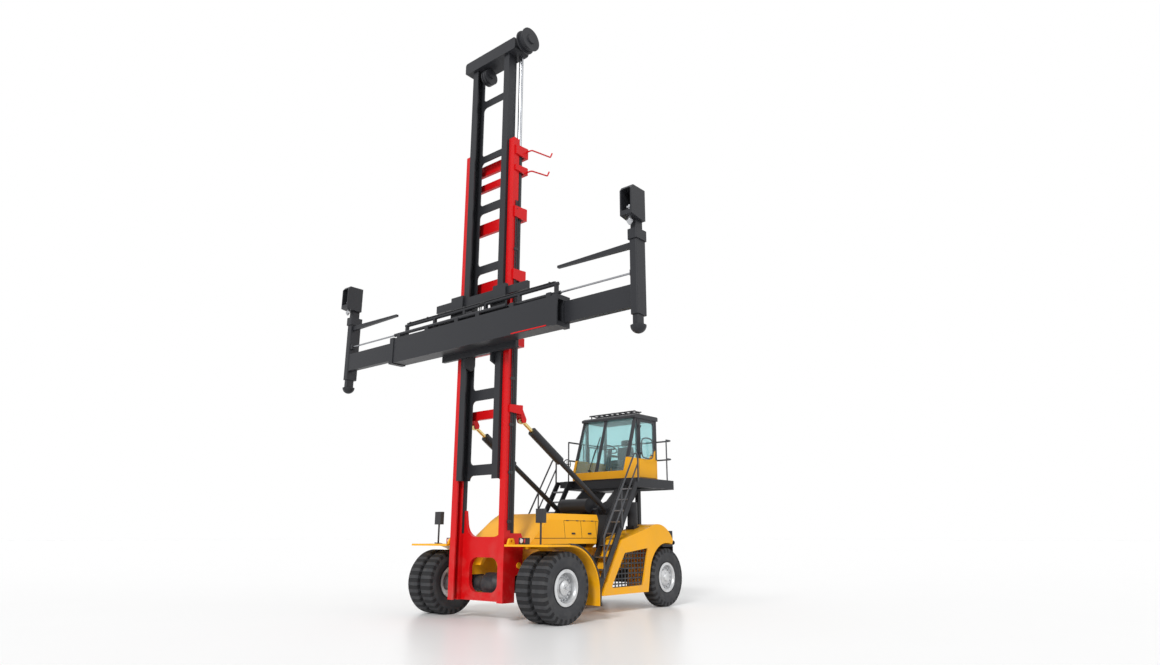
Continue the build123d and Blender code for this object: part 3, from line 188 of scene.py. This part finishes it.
def silver_paint(name, colour):
    """Silver wheel paint with patches of brake dust."""
    f = Finish(name)
    flake = f.noise(420.0, 1.0)
    film = f.noise(7.0, 5.0).limit(0.45, 0.75) * 0.35
    base = f.mix(film, f.mix(flake, shaded(colour, 0.92), shaded(colour, 1.08)), (0.25, 0.23, 0.21))
    return f.close(Base_Color=base, Roughness=film * 0.4 + 0.32, Metallic=0.55, Normal=f.bump(flake, 0.0002))


def polished_rod(name, colour, rough):
    """Hard chrome or oiled steel with fine turning marks."""
    f = Finish(name)
    marks = f.noise(60.0, 4.0, (1, 1, 0.05))
    film = f.noise(3.0, 4.0).limit(0.5, 0.75)
    return f.close(Base_Color=f.mix(film * 0.25, colour, shaded(colour, 0.7)), Metallic=1.0,
                   Roughness=marks * 0.08 + film * 0.1 + rough)


def machined_steel(name, colour):
    f = Finish(name)
    marks = f.noise(70.0, 5.0, (1, 0.1, 1))
    tone = f.mix(f.noise(9.0, 5.0), shaded(colour, 0.75), shaded(colour, 1.15))
    return f.close(Base_Color=tone, Metallic=0.9, Roughness=marks * 0.2 + 0.3, Normal=f.bump(marks, 0.0006))


def tinted_glass(name, colour):
    """Pale green safety glass with a trace of dust that lifts its roughness."""
    f = Finish(name)
    film = f.noise(2.2, 6.0).limit(0.45, 0.8)
    return f.close(Base_Color=f.mix(film * 0.3, colour, shaded(colour, 0.92)), Roughness=film * 0.06 + 0.03,
                   Transmission_Weight=0.93, IOR=1.45)


def woven_cloth(name, colour):
    f = Finish(name)
    weave = f.node("ShaderNodeTexWave", {"wave_type": "BANDS", "bands_direction": "X"},
                   {"Vector": f.place, "Scale": 90.0, "Distortion": 0.4})
    weft = f.node("ShaderNodeTexWave", {"wave_type": "BANDS", "bands_direction": "Z"},
                  {"Vector": f.place, "Scale": 90.0, "Distortion": 0.4})
    cloth = weave * 0.5 + weft * 0.5
    return f.close(Base_Color=f.mix(cloth, shaded(colour, 0.7), shaded(colour, 1.3)), Roughness=0.9,
                   Normal=f.bump(cloth, 0.001))


def moulded_plastic(name, colour, rough=0.5):
    f = Finish(name)
    grain = f.noise(240.0, 2.0)
    return f.close(Base_Color=f.mix(f.noise(4.0), shaded(colour, 0.85), shaded(colour, 1.15)),
                   Roughness=grain * 0.12 + rough, Normal=f.bump(grain, 0.0004))


def lamp_lens(name, colour):
    """Ribbed lamp glass over a bright reflector."""
    f = Finish(name)
    rib = f.node("ShaderNodeTexWave", {"wave_type": "BANDS", "bands_direction": "X"},
                 {"Vector": f.place, "Scale": 45.0})
    return f.close(Base_Color=f.mix(rib, shaded(colour, 0.8), colour), Roughness=rib * 0.08 + 0.08,
                   Metallic=0.4, Coat_Weight=0.8, Coat_Roughness=0.03, Normal=f.bump(rib, 0.002))


YELLOW = (0.90, 0.42, 0.008)
RED = (0.60, 0.005, 0.007)
CHARCOAL = (0.026, 0.027, 0.031)
FINISHES = {
    "yellow_paint": machine_paint("yellow_enamel", YELLOW, 0.26),
    "red_paint": machine_paint("red_enamel", RED, 0.26),
    "charcoal_paint": machine_paint("charcoal_enamel", CHARCOAL, 0.36),
    "grey_paint": machine_paint("rail_enamel", (0.075, 0.078, 0.086), 0.36),
    "cab_paint": machine_paint("cab_enamel", (0.040, 0.041, 0.046), 0.36),
    "cast_weight": casting_paint("weight_casting", CHARCOAL),
    "tyre_rubber": tyre_rubber("drive_tyre_rubber", FRONT_AXLE_Y),
    "rim_paint": silver_paint("wheel_silver", (0.62, 0.63, 0.64)),
    "rod_chrome": polished_rod("hard_chrome", (0.36, 0.37, 0.39), 0.24),
    "tilt_steel": polished_rod("oiled_rod", (0.72, 0.58, 0.26), 0.22),
    "steel": machined_steel("machined_steel", (0.48, 0.49, 0.51)),
    "window_glass": tinted_glass("cab_glass", (0.64, 0.87, 0.88)),
    "seat_fabric": woven_cloth("seat_cloth", (0.05, 0.05, 0.058)),
    "black_plastic": moulded_plastic("black_plastic", (0.022, 0.022, 0.025)),
}
CLEAR_LENS = lamp_lens("clear_lens", (0.86, 0.88, 0.9))
RED_LENS = lamp_lens("red_lens", (0.6, 0.02, 0.02))
AMBER_LENS = lamp_lens("amber_lens", (0.9, 0.35, 0.02))
EDGING_RUBBER = moulded_plastic("edging_rubber", (0.018, 0.018, 0.02), 0.6)
HOSE_RUBBER = moulded_plastic("hose_rubber", (0.014, 0.014, 0.016), 0.45)
# dark yellow-brown: painted shade for the shaded grooves of the hood's seams
SEAM_SHADE = moulded_plastic("seam_painted_shade", (0.05, 0.022, 0.004), 0.7)
TREAD_STEEL = machined_steel("tread_steel", (0.22, 0.22, 0.23))

STEER_RUBBER = tyre_rubber("steer_tyre_rubber", REAR_AXLE_Y)
OWN_FINISH = {
    "rear_tyre_left": STEER_RUBBER,
    "rear_tyre_right": STEER_RUBBER,
    "hose_arms": FINISHES["red_paint"],
}
for node in ("lift_barrels", "tilt_barrel_left", "tilt_barrel_right", "air_cleaner"):
    OWN_FINISH[node] = FINISHES["charcoal_paint"]

for part in frame["record"]["subparts"]:
    finish = OWN_FINISH.get(part["node"], FINISHES[part["material_slot"]])
    for holder in NODES[part["node"]].material_slots:
        holder.material = finish.material


# Shapes

def add_box(mesh, low, high, edge=0.004):
    """Box with rounded edges between two corners."""
    low, high = Vector(low), Vector(high)
    place = Matrix.Translation((low + high) / 2) @ Matrix.Diagonal((*(high - low), 1))
    made = bmesh.ops.create_cube(mesh, size=1.0, matrix=place)["verts"]
    edges = {e for v in made for e in v.link_edges}
    bmesh.ops.bevel(mesh, geom=list(edges), offset=edge, segments=2, profile=0.5, affect="EDGES", material=-1)


def add_drum(mesh, start, end, radius, sides=20, edge=0.0, end_radius=None):
    """Round or many-sided bar between two points, with its rims rounded by edge."""
    start, end = Vector(start), Vector(end)
    axis = end - start
    place = Matrix.Translation((start + end) / 2) @ axis.to_track_quat("Z", "Y").to_matrix().to_4x4()
    made = bmesh.ops.create_cone(mesh, cap_ends=True, segments=sides, radius1=radius,
                                 radius2=radius if end_radius is None else end_radius, depth=axis.length,
                                 matrix=place)["verts"]
    if edge:
        rims = {e for v in made for e in v.link_edges
                if abs((e.verts[0].co - e.verts[1].co).dot(axis.normalized())) < axis.length / 2}
        bmesh.ops.bevel(mesh, geom=list(rims), offset=edge, segments=2, profile=0.5, affect="EDGES",
                        material=-1)


def piece(name, mesh, body, slot, finish=None):
    """A finished mesh as an object that rides on a body of the frame."""
    bmesh.ops.recalc_face_normals(mesh, faces=mesh.faces[:])
    data = bpy.data.meshes.new(name)
    mesh.to_mesh(data)
    mesh.free()
    data.materials.append((finish or FINISHES[slot]).material)
    made = bpy.data.objects.new(name, data)
    bpy.context.scene.collection.objects.link(made)
    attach(made, body)
    return made


def bent_tube(name, points, radius, body, slot, finish=None):
    """Pipe or hose of one radius on a smooth line through the points."""
    data = bpy.data.curves.new(name, "CURVE")
    data.dimensions = "3D"
    data.bevel_depth = radius
    data.bevel_resolution = 3
    data.use_fill_caps = True
    data.resolution_u = 8
    line = data.splines.new("BEZIER")
    line.bezier_points.add(len(points) - 1)
    for knot, point in zip(line.bezier_points, points):
        knot.co = point
        knot.handle_left_type = knot.handle_right_type = "AUTO"
    data.materials.append((finish or FINISHES[slot]).material)
    made = bpy.data.objects.new(name, data)
    bpy.context.scene.collection.objects.link(made)
    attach(made, body)
    return made


# Wheels

NUT_RING = 0.238
DRIVE_NUTS_X = 1.905
DRIVE_CAP_X = 2.029
STEER_NUTS_X = 1.24


def bolt_ring(mesh, centre, out, reach, count, size, height):
    """Hexagon nuts on washers in a ring about an axle along X."""
    for i in range(count):
        turn = math.tau * i / count
        seat = centre + Vector((0, reach * math.cos(turn), reach * math.sin(turn)))
        add_drum(mesh, seat - out * 0.004, seat + out * height * 0.25, size * 1.4, 14, 0.001)
        add_drum(mesh, seat, seat + out * height, size, 6, 0.002)
        add_drum(mesh, seat, seat + out * height * 1.4, size * 0.55, 10, 0.002)


def wheel_nuts():
    """Wheel nuts of every wheel, and the screws and filler plug of the drive wheels' planetary caps."""
    for side, sign in SIDES.items():
        out = Vector((sign, 0, 0))
        mesh = bmesh.new()
        bolt_ring(mesh, Vector((sign * DRIVE_NUTS_X, FRONT_AXLE_Y, HUB_Z)), out, NUT_RING, 20, 0.017, 0.022)
        cap = Vector((sign * DRIVE_CAP_X, FRONT_AXLE_Y, HUB_Z))
        bolt_ring(mesh, cap, out, 0.065, 8, 0.007, 0.008)
        add_drum(mesh, cap, cap + out * 0.016, 0.03, 6, 0.003)
        piece("drive_wheel_nuts_" + side, mesh, "wheel_front_" + side, "steel")
        mesh = bmesh.new()
        bolt_ring(mesh, Vector((sign * STEER_NUTS_X, REAR_AXLE_Y, HUB_Z)), out, NUT_RING, 16, 0.016, 0.022)
        piece("steer_wheel_nuts_" + side, mesh, "wheel_rear_" + side, "steel")


# Bodywork

FENDER_ARC = 0.95
FENDER_ARC_Z = 0.55
FENDER_TAIL_Z = 0.29


def corners_of(geometry):
    return [g for g in geometry if isinstance(g, bmesh.types.BMVert)]


def edges_of(geometry):
    return [g for g in geometry if isinstance(g, bmesh.types.BMEdge)]


def fender_edging():
    """Rubber edging rolled round the outer lip of each front fender and down to its tail."""
    centre = Vector((0, FRONT_AXLE_Y + 0.06, FENDER_ARC_Z))
    for side, sign in SIDES.items():
        mesh = bmesh.new()
        section = ((2.04, -0.008), (2.1, -0.008), (2.1, 0.022), (2.04, 0.022))
        corners = [mesh.verts.new((sign * x, centre.y, centre.z + FENDER_ARC + r)) for x, r in section]
        loop = [mesh.edges.new((corners[i - 1], corners[i])) for i in range(4)]
        arc = bmesh.ops.spin(mesh, geom=loop, cent=centre, axis=(1, 0, 0), angle=-math.pi / 2, steps=18)
        tail = bmesh.ops.extrude_edge_only(mesh, edges=edges_of(arc["geom_last"]))["geom"]
        bmesh.ops.translate(mesh, vec=(0, 0, FENDER_TAIL_Z - centre.z), verts=corners_of(tail))
        bmesh.ops.holes_fill(mesh, edges=mesh.edges[:], sides=4)
        piece("fender_edging_" + side, mesh, "chassis", "black_plastic", EDGING_RUBBER)


HOOD_FOOT_Z = 1.5
HOOD_LEAN = 0.06 / 0.51
SEAM_LOW_Z = 1.62
SEAM_HIGH_Z = 2.0
LATCH_Z = 1.72


def hood_side(z):
    """Where the leaning side of the hood is at a height."""
    return 0.95 - HOOD_LEAN * (z - HOOD_FOOT_Z)


def hood_fittings():
    """Seams of the hood's side doors as thin strips of painted shade, with their latches and hinges."""
    seams = bmesh.new()
    latches = bmesh.new()
    for sign in SIDES.values():
        low, high = (sign * (hood_side(z) - 0.002) for z in (SEAM_LOW_Z, SEAM_HIGH_Z))
        add_drum(seams, (low, -1.99, SEAM_LOW_Z), (low, 0.13, SEAM_LOW_Z), 0.007, 8)
        add_drum(seams, (high, -1.0, SEAM_HIGH_Z), (high, 0.2, SEAM_HIGH_Z), 0.006, 8)
        for y in (-1.0, -0.42, 0.12):
            add_drum(seams, (low, y, SEAM_LOW_Z), (high, y, SEAM_HIGH_Z), 0.006, 8)
        x = sign * hood_side(LATCH_Z)
        for y in (-0.71, -0.14):
            spot = Vector((x, y, LATCH_Z))
            for half in (Vector((0.012, 0.06, 0.02)), Vector((0.026, 0.045, 0.008))):
                add_box(latches, spot - half, spot + half, 0.006)
        for y in (-0.88, -0.54, -0.3, 0.0):
            add_drum(latches, (high, y - 0.04, SEAM_HIGH_Z), (high, y + 0.04, SEAM_HIGH_Z), 0.012, 12, 0.003)
    # the seam strips are painted shade, not parts of the hood
    piece("hood_seams", seams, "chassis", "yellow_paint", SEAM_SHADE)
    piece("hood_latches", latches, "chassis", "black_plastic")


def fender_lamps():
    """Head lamp and red marker on each fender lamp, with their rims."""
    for side, sign in SIDES.items():
        x, mark = sign * 1.12, sign * 1.194
        rims = bmesh.new()
        add_drum(rims, (x, -2.55, 1.57), (x, -2.566, 1.57), 0.052, 28, 0.004)
        add_box(rims, (mark - 0.024, -2.552, 1.522), (mark + 0.024, -2.54, 1.618), 0.004)
        piece("lamp_rims_" + side, rims, "chassis", "black_plastic")
        lens = bmesh.new()
        add_drum(lens, (x, -2.56, 1.57), (x, -2.574, 1.57), 0.045, 28, 0.007)
        piece("head_lamp_lens_" + side, lens, "chassis", "black_plastic", CLEAR_LENS)
        lens = bmesh.new()
        add_box(lens, (mark - 0.019, -2.56, 1.528), (mark + 0.019, -2.546, 1.612), 0.006)
        piece("marker_lens_" + side, lens, "chassis", "black_plastic", RED_LENS)


TAIL_LAMP_Z = 1.5


def tail_lamps():
    """Round stop, turn and reversing lamps on the back of the counterweight."""
    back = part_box("counterweight")[1][1]
    lenses = {"stop": (0.80, RED_LENS), "turn": (0.67, AMBER_LENS), "reverse": (0.54, CLEAR_LENS)}
    for side, sign in SIDES.items():
        rims = bmesh.new()
        for name, (reach, finish) in lenses.items():
            x = sign * reach
            add_drum(rims, (x, back - 0.03, TAIL_LAMP_Z), (x, back + 0.012, TAIL_LAMP_Z), 0.056, 24, 0.004)
            lens = bmesh.new()
            add_drum(lens, (x, back - 0.02, TAIL_LAMP_Z), (x, back + 0.022, TAIL_LAMP_Z), 0.046, 24, 0.007)
            piece(f"{name}_lens_{side}", lens, "chassis", "black_plastic", finish)
        piece("tail_lamp_rims_" + side, rims, "chassis", "black_plastic")


# Cab

def screen_y(z):
    """Front face of the leaning windscreen."""
    return 1.386 + 0.326 * (z - 3.26)


def wiper():
    mesh = bmesh.new()
    pivot = Vector((-0.31, screen_y(3.30) - 0.03, 3.30))
    elbow = Vector((-0.235, screen_y(3.85) - 0.045, 3.85))
    add_drum(mesh, pivot + Vector((0, 0.03, 0)), pivot - Vector((0, 0.03, 0)), 0.028, 16, 0.004)
    add_drum(mesh, pivot, elbow, 0.011, 10, 0.0, 0.008)
    low = Vector((-0.285, screen_y(3.52) - 0.022, 3.52))
    high = Vector((-0.165, screen_y(4.2) - 0.022, 4.2))
    add_drum(mesh, low, high, 0.013, 8)
    add_drum(mesh, elbow, (low + high) / 2, 0.009, 8)
    for share in (0.1, 0.35, 0.65, 0.9):
        spot = low.lerp(high, share)
        add_drum(mesh, spot, spot - Vector((0, 0.022, 0)), 0.009, 8)
    piece("windscreen_wiper", mesh, "chassis", "black_plastic")


def waist_rail():
    """Grab rail inside the right-hand panes."""
    rail = bmesh.new()
    add_drum(rail, (-0.80, 1.95, 4.0), (-0.80, 2.7, 4.0), 0.017, 14)
    for y in (1.98, 2.67):
        add_drum(rail, (-0.80, y, 4.0), (-0.80, y, 3.56), 0.014, 12)
    piece("waist_rail", rail, "chassis", "grey_paint")


def door_fittings():
    """Lower panel of the cab door with its rising edge, its lever and lock, and a rounded grab loop."""
    mesh = bmesh.new()
    outline = ((1.976, 3.13), (2.696, 3.13), (2.696, 3.86), (2.36, 3.6), (1.976, 3.6))
    face = mesh.faces.new([mesh.verts.new((0.866, y, z)) for y, z in outline])
    raised = bmesh.ops.extrude_face_region(mesh, geom=[face])["geom"]
    bmesh.ops.translate(mesh, vec=(0.012, 0, 0), verts=corners_of(raised))
    bmesh.ops.bevel(mesh, geom=mesh.edges[:], offset=0.003, segments=2, profile=0.5, affect="EDGES",
                    material=-1)
    piece("door_lower_panel", mesh, "door", "yellow_paint")
    mesh = bmesh.new()
    add_box(mesh, (0.86, 2.63, 3.90), (0.884, 2.69, 4.02), 0.008)
    add_box(mesh, (0.876, 2.56, 3.965), (0.91, 2.68, 3.99), 0.01)
    add_drum(mesh, (0.88, 2.66, 3.925), (0.89, 2.66, 3.925), 0.013, 16, 0.002)
    piece("door_lever", mesh, "door", "black_plastic")
    low, high, near, far, x, r = 3.62, 4.12, 2.01, 2.5, 0.93, 0.09
    bow = 0.03
    loop = [(x, near + r, low), (x, far - r, low), (x, far - bow, low + bow),
            (x, far, low + r), (x, far, high - r), (x, far - bow, high - bow),
            (x, far - r, high), (x, near + r, high), (x, near + bow, high - bow),
            (x, near, high - r), (x, near, low + r), (x, near + bow, low + bow), (x, near + r, low)]
    bent_tube("door_grab_loop", loop, 0.016, "door", "grey_paint")
    mesh = bmesh.new()
    for z in (low + 0.13, high - 0.13):
        add_drum(mesh, (0.86, near, z), (x, near, z), 0.012, 12)
        add_drum(mesh, (0.864, near, z), (0.876, near, z), 0.024, 16, 0.003)
    add_drum(mesh, (0.865, far - 0.01, low + 0.09), (x, far - 0.01, low + 0.09), 0.012, 12)
    add_drum(mesh, (0.872, far - 0.01, low + 0.09), (0.886, far - 0.01, low + 0.09), 0.024, 16, 0.003)
    piece("door_loop_feet", mesh, "door", "grey_paint")


SEAT_SEAMS = (-0.5, 0.5)


def cushion(name, low, high, seams=()):
    """Stuffed pad between two corners: rounded all over and drawn in along its seams."""
    low, high = Vector(low), Vector(high)
    middle, half = (low + high) / 2, (high - low) / 2
    mesh = bmesh.new()
    bmesh.ops.create_cube(mesh, size=2.0)
    bmesh.ops.subdivide_edges(mesh, edges=mesh.edges[:], cuts=11, use_grid_fill=True)
    for v in mesh.verts:
        across = v.co.x
        round_off = v.co.lerp(v.co.normalized() * 1.2, 0.38)
        v.co = Vector(max(-1.0, min(1.0, c)) for c in round_off)
        dip = sum(math.exp(-((across - s) / 0.07) ** 2) for s in seams)
        v.co *= 1 - 0.10 * dip
        v.co = Vector(c * h for c, h in zip(v.co, half)) + middle
    bmesh.ops.smooth_vert(mesh, verts=mesh.verts[:], factor=0.5, use_axis_x=True, use_axis_y=True,
                          use_axis_z=True)
    made = piece(name, mesh, "chassis", "seat_fabric")
    finer = made.modifiers.new("round", "SUBSURF")
    finer.levels = finer.render_levels = 1
    for face in made.data.polygons:
        face.use_smooth = True
    return made


def operator_seat():
    """Suspension seat: padded cushion, back, head rest and armrests on a pedestal with bellows."""
    low, high = (Vector(c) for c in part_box("cab_seat"))
    pedestal = bmesh.new()
    add_box(pedestal, (-0.20, low.y + 0.06, low.z), (0.20, low.y + 0.44, low.z + 0.1), 0.012)
    for i in range(4):
        z = low.z + 0.1 + 0.05 * i
        add_box(pedestal, (-0.185, low.y + 0.07, z), (0.185, low.y + 0.43, z + 0.044), 0.02)
    add_box(pedestal, (-0.23, low.y + 0.02, low.z + 0.30), (0.23, low.y + 0.46, low.z + 0.36), 0.012)
    piece("seat_pedestal", pedestal, "chassis", "black_plastic")
    pad = cushion("seat_cushion", (-0.25, low.y, low.z + 0.36), (0.25, low.y + 0.46, low.z + 0.50),
                  SEAT_SEAMS)
    cushion("seat_back", (-0.24, low.y + 0.41, low.z + 0.46), (0.24, low.y + 0.55, low.z + 0.88),
            SEAT_SEAMS)
    cushion("seat_head_rest", (-0.13, low.y + 0.45, low.z + 0.90), (0.13, high.y - 0.01, high.z - 0.005))
    for side, sign in SIDES.items():
        x = sign * 0.245
        cushion("arm_rest_" + side, (x - 0.03, low.y + 0.12, low.z + 0.60),
                (x + 0.03, low.y + 0.44, low.z + 0.66))
    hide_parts("cab_seat")


MIRROR_CENTRE = Vector((-1.16, 1.47, 3.53))
MIRROR_RADIUS = 0.125


def far_mirror():
    """Round mirror frame with its spokes on the far front rail post."""
    mesh = bmesh.new()
    add_drum(mesh, MIRROR_CENTRE + Vector((0, 0.05, 0)), MIRROR_CENTRE, 0.014, 12)
    for turn in (0.0, math.pi / 2):
        arm = Vector((math.cos(turn), 0, math.sin(turn))) * MIRROR_RADIUS
        add_drum(mesh, MIRROR_CENTRE - arm, MIRROR_CENTRE + arm, 0.009, 8)
    piece("mirror_spokes", mesh, "chassis", "grey_paint")
    turns = [math.tau * i / 12 for i in range(13)]
    ring = [MIRROR_CENTRE + Vector((math.cos(a), 0, math.sin(a))) * MIRROR_RADIUS for a in turns]
    bent_tube("mirror_ring", ring, 0.013, "chassis", "grey_paint")


STAIR_X = 1.1
STAIR_FOOT_Y = -0.344
STAIR_FOOT_Z = 0.42
STAIR_RISE = 0.263
STAIR_SLOPE = 1.6


def stair_nosings():
    """Grip plates along the front of every tread, with round studs behind them."""
    for side, sign in SIDES.items():
        mesh = bmesh.new()
        middle = sign * STAIR_X
        for i in range(1, 10):
            z = STAIR_FOOT_Z + STAIR_RISE * i
            y = STAIR_FOOT_Y + (z - STAIR_FOOT_Z) / STAIR_SLOPE
            add_box(mesh, (middle - 0.175, y - 0.086, z - 0.028), (middle + 0.175, y - 0.05, z + 0.006), 0.004)
            for k in range(5):
                x = middle - 0.14 + 0.07 * k
                add_drum(mesh, (x, y + 0.01, z - 0.002), (x, y + 0.01, z + 0.006), 0.016, 10, 0.002)
        piece("tread_grips_" + side, mesh, "chassis", "charcoal_paint", TREAD_STEEL)


# Mast and spreader

PIPE_X = 0.848
PIPES_Y = (-2.64, -2.685)
PIPE_HEIGHTS = (1.78, 3.5, 6.0, 9.15)


def mast_pipes():
    """Two oil pipes up the left upright, held in clamps."""
    for number, y in enumerate(PIPES_Y):
        points = [(PIPE_X, y, z) for z in PIPE_HEIGHTS]
        bent_tube(f"mast_pipe_{number}", points, 0.013, "mast", "charcoal_paint")
    mesh = bmesh.new()
    middle = sum(PIPES_Y) / 2
    for i in range(8):
        z = 1.95 + 1.0 * i
        add_box(mesh, (0.826, -2.712, z - 0.03), (0.866, -2.612, z + 0.03), 0.006)
        add_drum(mesh, (0.862, middle, z), (0.878, middle, z), 0.011, 6, 0.002)
    piece("mast_pipe_clamps", mesh, "mast", "black_plastic")


GLAND_PLACE = (0.735, -2.514)
GLAND_TOP_Z = 10.49


def gland_collars():
    """Bolted wiper collars on the lift cylinders' glands."""
    mesh = bmesh.new()
    for sign in SIDES.values():
        x, y = sign * GLAND_PLACE[0], GLAND_PLACE[1]
        add_drum(mesh, (x, y, GLAND_TOP_Z - 0.035), (x, y, GLAND_TOP_Z), 0.098, 32, 0.004)
        for i in range(8):
            turn = math.tau * (i + 0.5) / 8
            spot = Vector((x + 0.088 * math.cos(turn), y + 0.088 * math.sin(turn), GLAND_TOP_Z))
            add_drum(mesh, spot, spot + Vector((0, 0, 0.008)), 0.007, 6, 0.001)
    piece("gland_collars", mesh, "mast", "steel")


RAIL_Y = -3.056
RAIL_Z = 6.65
BEAM_TOP_Z = 6.3
VALVE_FRONT_Y = -3.105
VALVE_BACK_Y = -3.0
PORTS_X = (0.1, 0.16, 0.22)
PORT_Y = -3.07
PORT_Z = 6.5


def spreader_hoses():
    """Two hoses along the spreader's rail, and short ones up to them from the valve block."""
    for number, (dy, dz) in enumerate(((-0.03, 0.045), (0.012, 0.053))):
        points = [(-2.42 + 0.44 * i, RAIL_Y + dy, RAIL_Z + dz) for i in range(12)]
        bent_tube(f"rail_hose_{number}", points, 0.014, "spreader", "black_plastic", HOSE_RUBBER)
    for number, x in enumerate(PORTS_X):
        points = [(x, PORT_Y, PORT_Z), (x, PORT_Y - 0.01, PORT_Z + 0.06),
                  (x + 0.06, PORT_Y - 0.03, PORT_Z + 0.13), (x + 0.16, RAIL_Y - 0.03, RAIL_Z + 0.045)]
        bent_tube(f"valve_hose_{number}", points, 0.012, "spreader", "black_plastic", HOSE_RUBBER)


def valve_block():
    """Valves with their ports and coils, and a control box, behind the cylinder barrels on the beam."""
    block = bmesh.new()
    add_box(block, (0.06, VALVE_FRONT_Y, BEAM_TOP_Z), (0.28, VALVE_BACK_Y, PORT_Z + 0.01), 0.008)
    for x in PORTS_X:
        add_drum(block, (x, PORT_Y, PORT_Z), (x, PORT_Y, PORT_Z + 0.03), 0.018, 6, 0.002)
        add_box(block, (x - 0.022, VALVE_BACK_Y - 0.008, 6.36), (x + 0.022, VALVE_BACK_Y + 0.015, 6.46), 0.006)
    add_box(block, (-0.27, VALVE_FRONT_Y, BEAM_TOP_Z), (-0.05, VALVE_BACK_Y, 6.56), 0.01)
    piece("valve_block", block, "spreader", "charcoal_paint")


def hose_clips():
    clips = bmesh.new()
    for i in range(8):
        x = -2.3 + 0.655 * i
        low = (x - 0.02, RAIL_Y - 0.051, RAIL_Z + 0.03)
        high = (x + 0.02, RAIL_Y + 0.033, RAIL_Z + 0.07)
        add_box(clips, low, high, 0.006)
    piece("hose_clips", clips, "spreader", "black_plastic")


def red_beam_strip():
    """Red strip low on the front of the beam."""
    strip = bmesh.new()
    # a thin strip in the red paint; what it stands for is not known
    add_box(strip, (1.43, -3.331, 5.70), (2.42, -3.324, 5.725), 0.002)
    piece("red_beam_strip", strip, "spreader", "red_paint")


wheel_nuts()
fender_edging()
hood_fittings()
fender_lamps()
tail_lamps()
wiper()
waist_rail()
door_fittings()
operator_seat()
far_mirror()
stair_nosings()
mast_pipes()
gland_collars()
spreader_hoses()
valve_block()
hose_clips()
red_beam_strip()


# Floor, light and camera

def floor():
    f = Finish("studio_floor")
    f.close(Base_Color=f.mix(f.noise(0.4), (0.93, 0.93, 0.93), (0.95, 0.95, 0.95)), Roughness=0.32)
    mesh = bmesh.new()
    bmesh.ops.create_grid(mesh, x_segments=1, y_segments=1, size=400)
    data = bpy.data.meshes.new("studio_floor")
    mesh.to_mesh(data)
    mesh.free()
    data.materials.append(f.material)
    made = bpy.data.objects.new("studio_floor", data)
    bpy.context.scene.collection.objects.link(made)


def sun(name, place, aim, power, spread):
    data = bpy.data.lights.new(name, "SUN")
    data.energy = power
    data.angle = spread
    made = bpy.data.objects.new(name, data)
    made.location = place
    made.rotation_euler = (Vector(aim) - Vector(place)).to_track_quat("-Z", "Y").to_euler()
    bpy.context.scene.collection.objects.link(made)


def white_world(ambient):
    """White wherever the camera, a gloss or a glass looks past the machine, and soft light from all round."""
    world = bpy.data.worlds.new("studio")
    bpy.context.scene.world = world
    world.use_nodes = True
    nodes, links = world.node_tree.nodes, world.node_tree.links
    ray = nodes.new("ShaderNodeLightPath")
    seen = None
    for name in ("Is Camera Ray", "Is Glossy Ray", "Is Transmission Ray"):
        if seen is None:
            seen = ray.outputs[name]
            continue
        both = nodes.new("ShaderNodeMath")
        both.operation = "MAXIMUM"
        links.new(seen, both.inputs[0])
        links.new(ray.outputs[name], both.inputs[1])
        seen = both.outputs[0]
    strength = nodes.new("ShaderNodeMapRange")
    strength.inputs["To Min"].default_value = ambient
    links.new(seen, strength.inputs["Value"])
    background = nodes["Background"]
    background.inputs["Color"].default_value = (1, 1, 1, 1)
    links.new(strength.outputs[0], background.inputs["Strength"])


def camera():
    data = bpy.data.cameras.new("photo_camera")
    data.lens = CAMERA_LENS
    data.clip_end = 2000
    made = bpy.data.objects.new("photo_camera", data)
    ahead = Vector((-math.sin(CAMERA_HEADING) * math.cos(CAMERA_PITCH),
                    math.cos(CAMERA_HEADING) * math.cos(CAMERA_PITCH), math.sin(CAMERA_PITCH)))
    made.location = CAMERA_PLACE
    made.rotation_euler = ahead.to_track_quat("-Z", "Y").to_euler()
    bpy.context.scene.collection.objects.link(made)
    bpy.context.scene.camera = made


bpy.context.scene.view_settings.view_transform = "Standard"
floor()
white_world(0.62)
sun("key", (5, -15, 15), (0, 0, 4), 1.9, math.radians(14))
sun("fill", (14, 4, 10), (0, 0, 4), 0.5, math.radians(30))
camera()
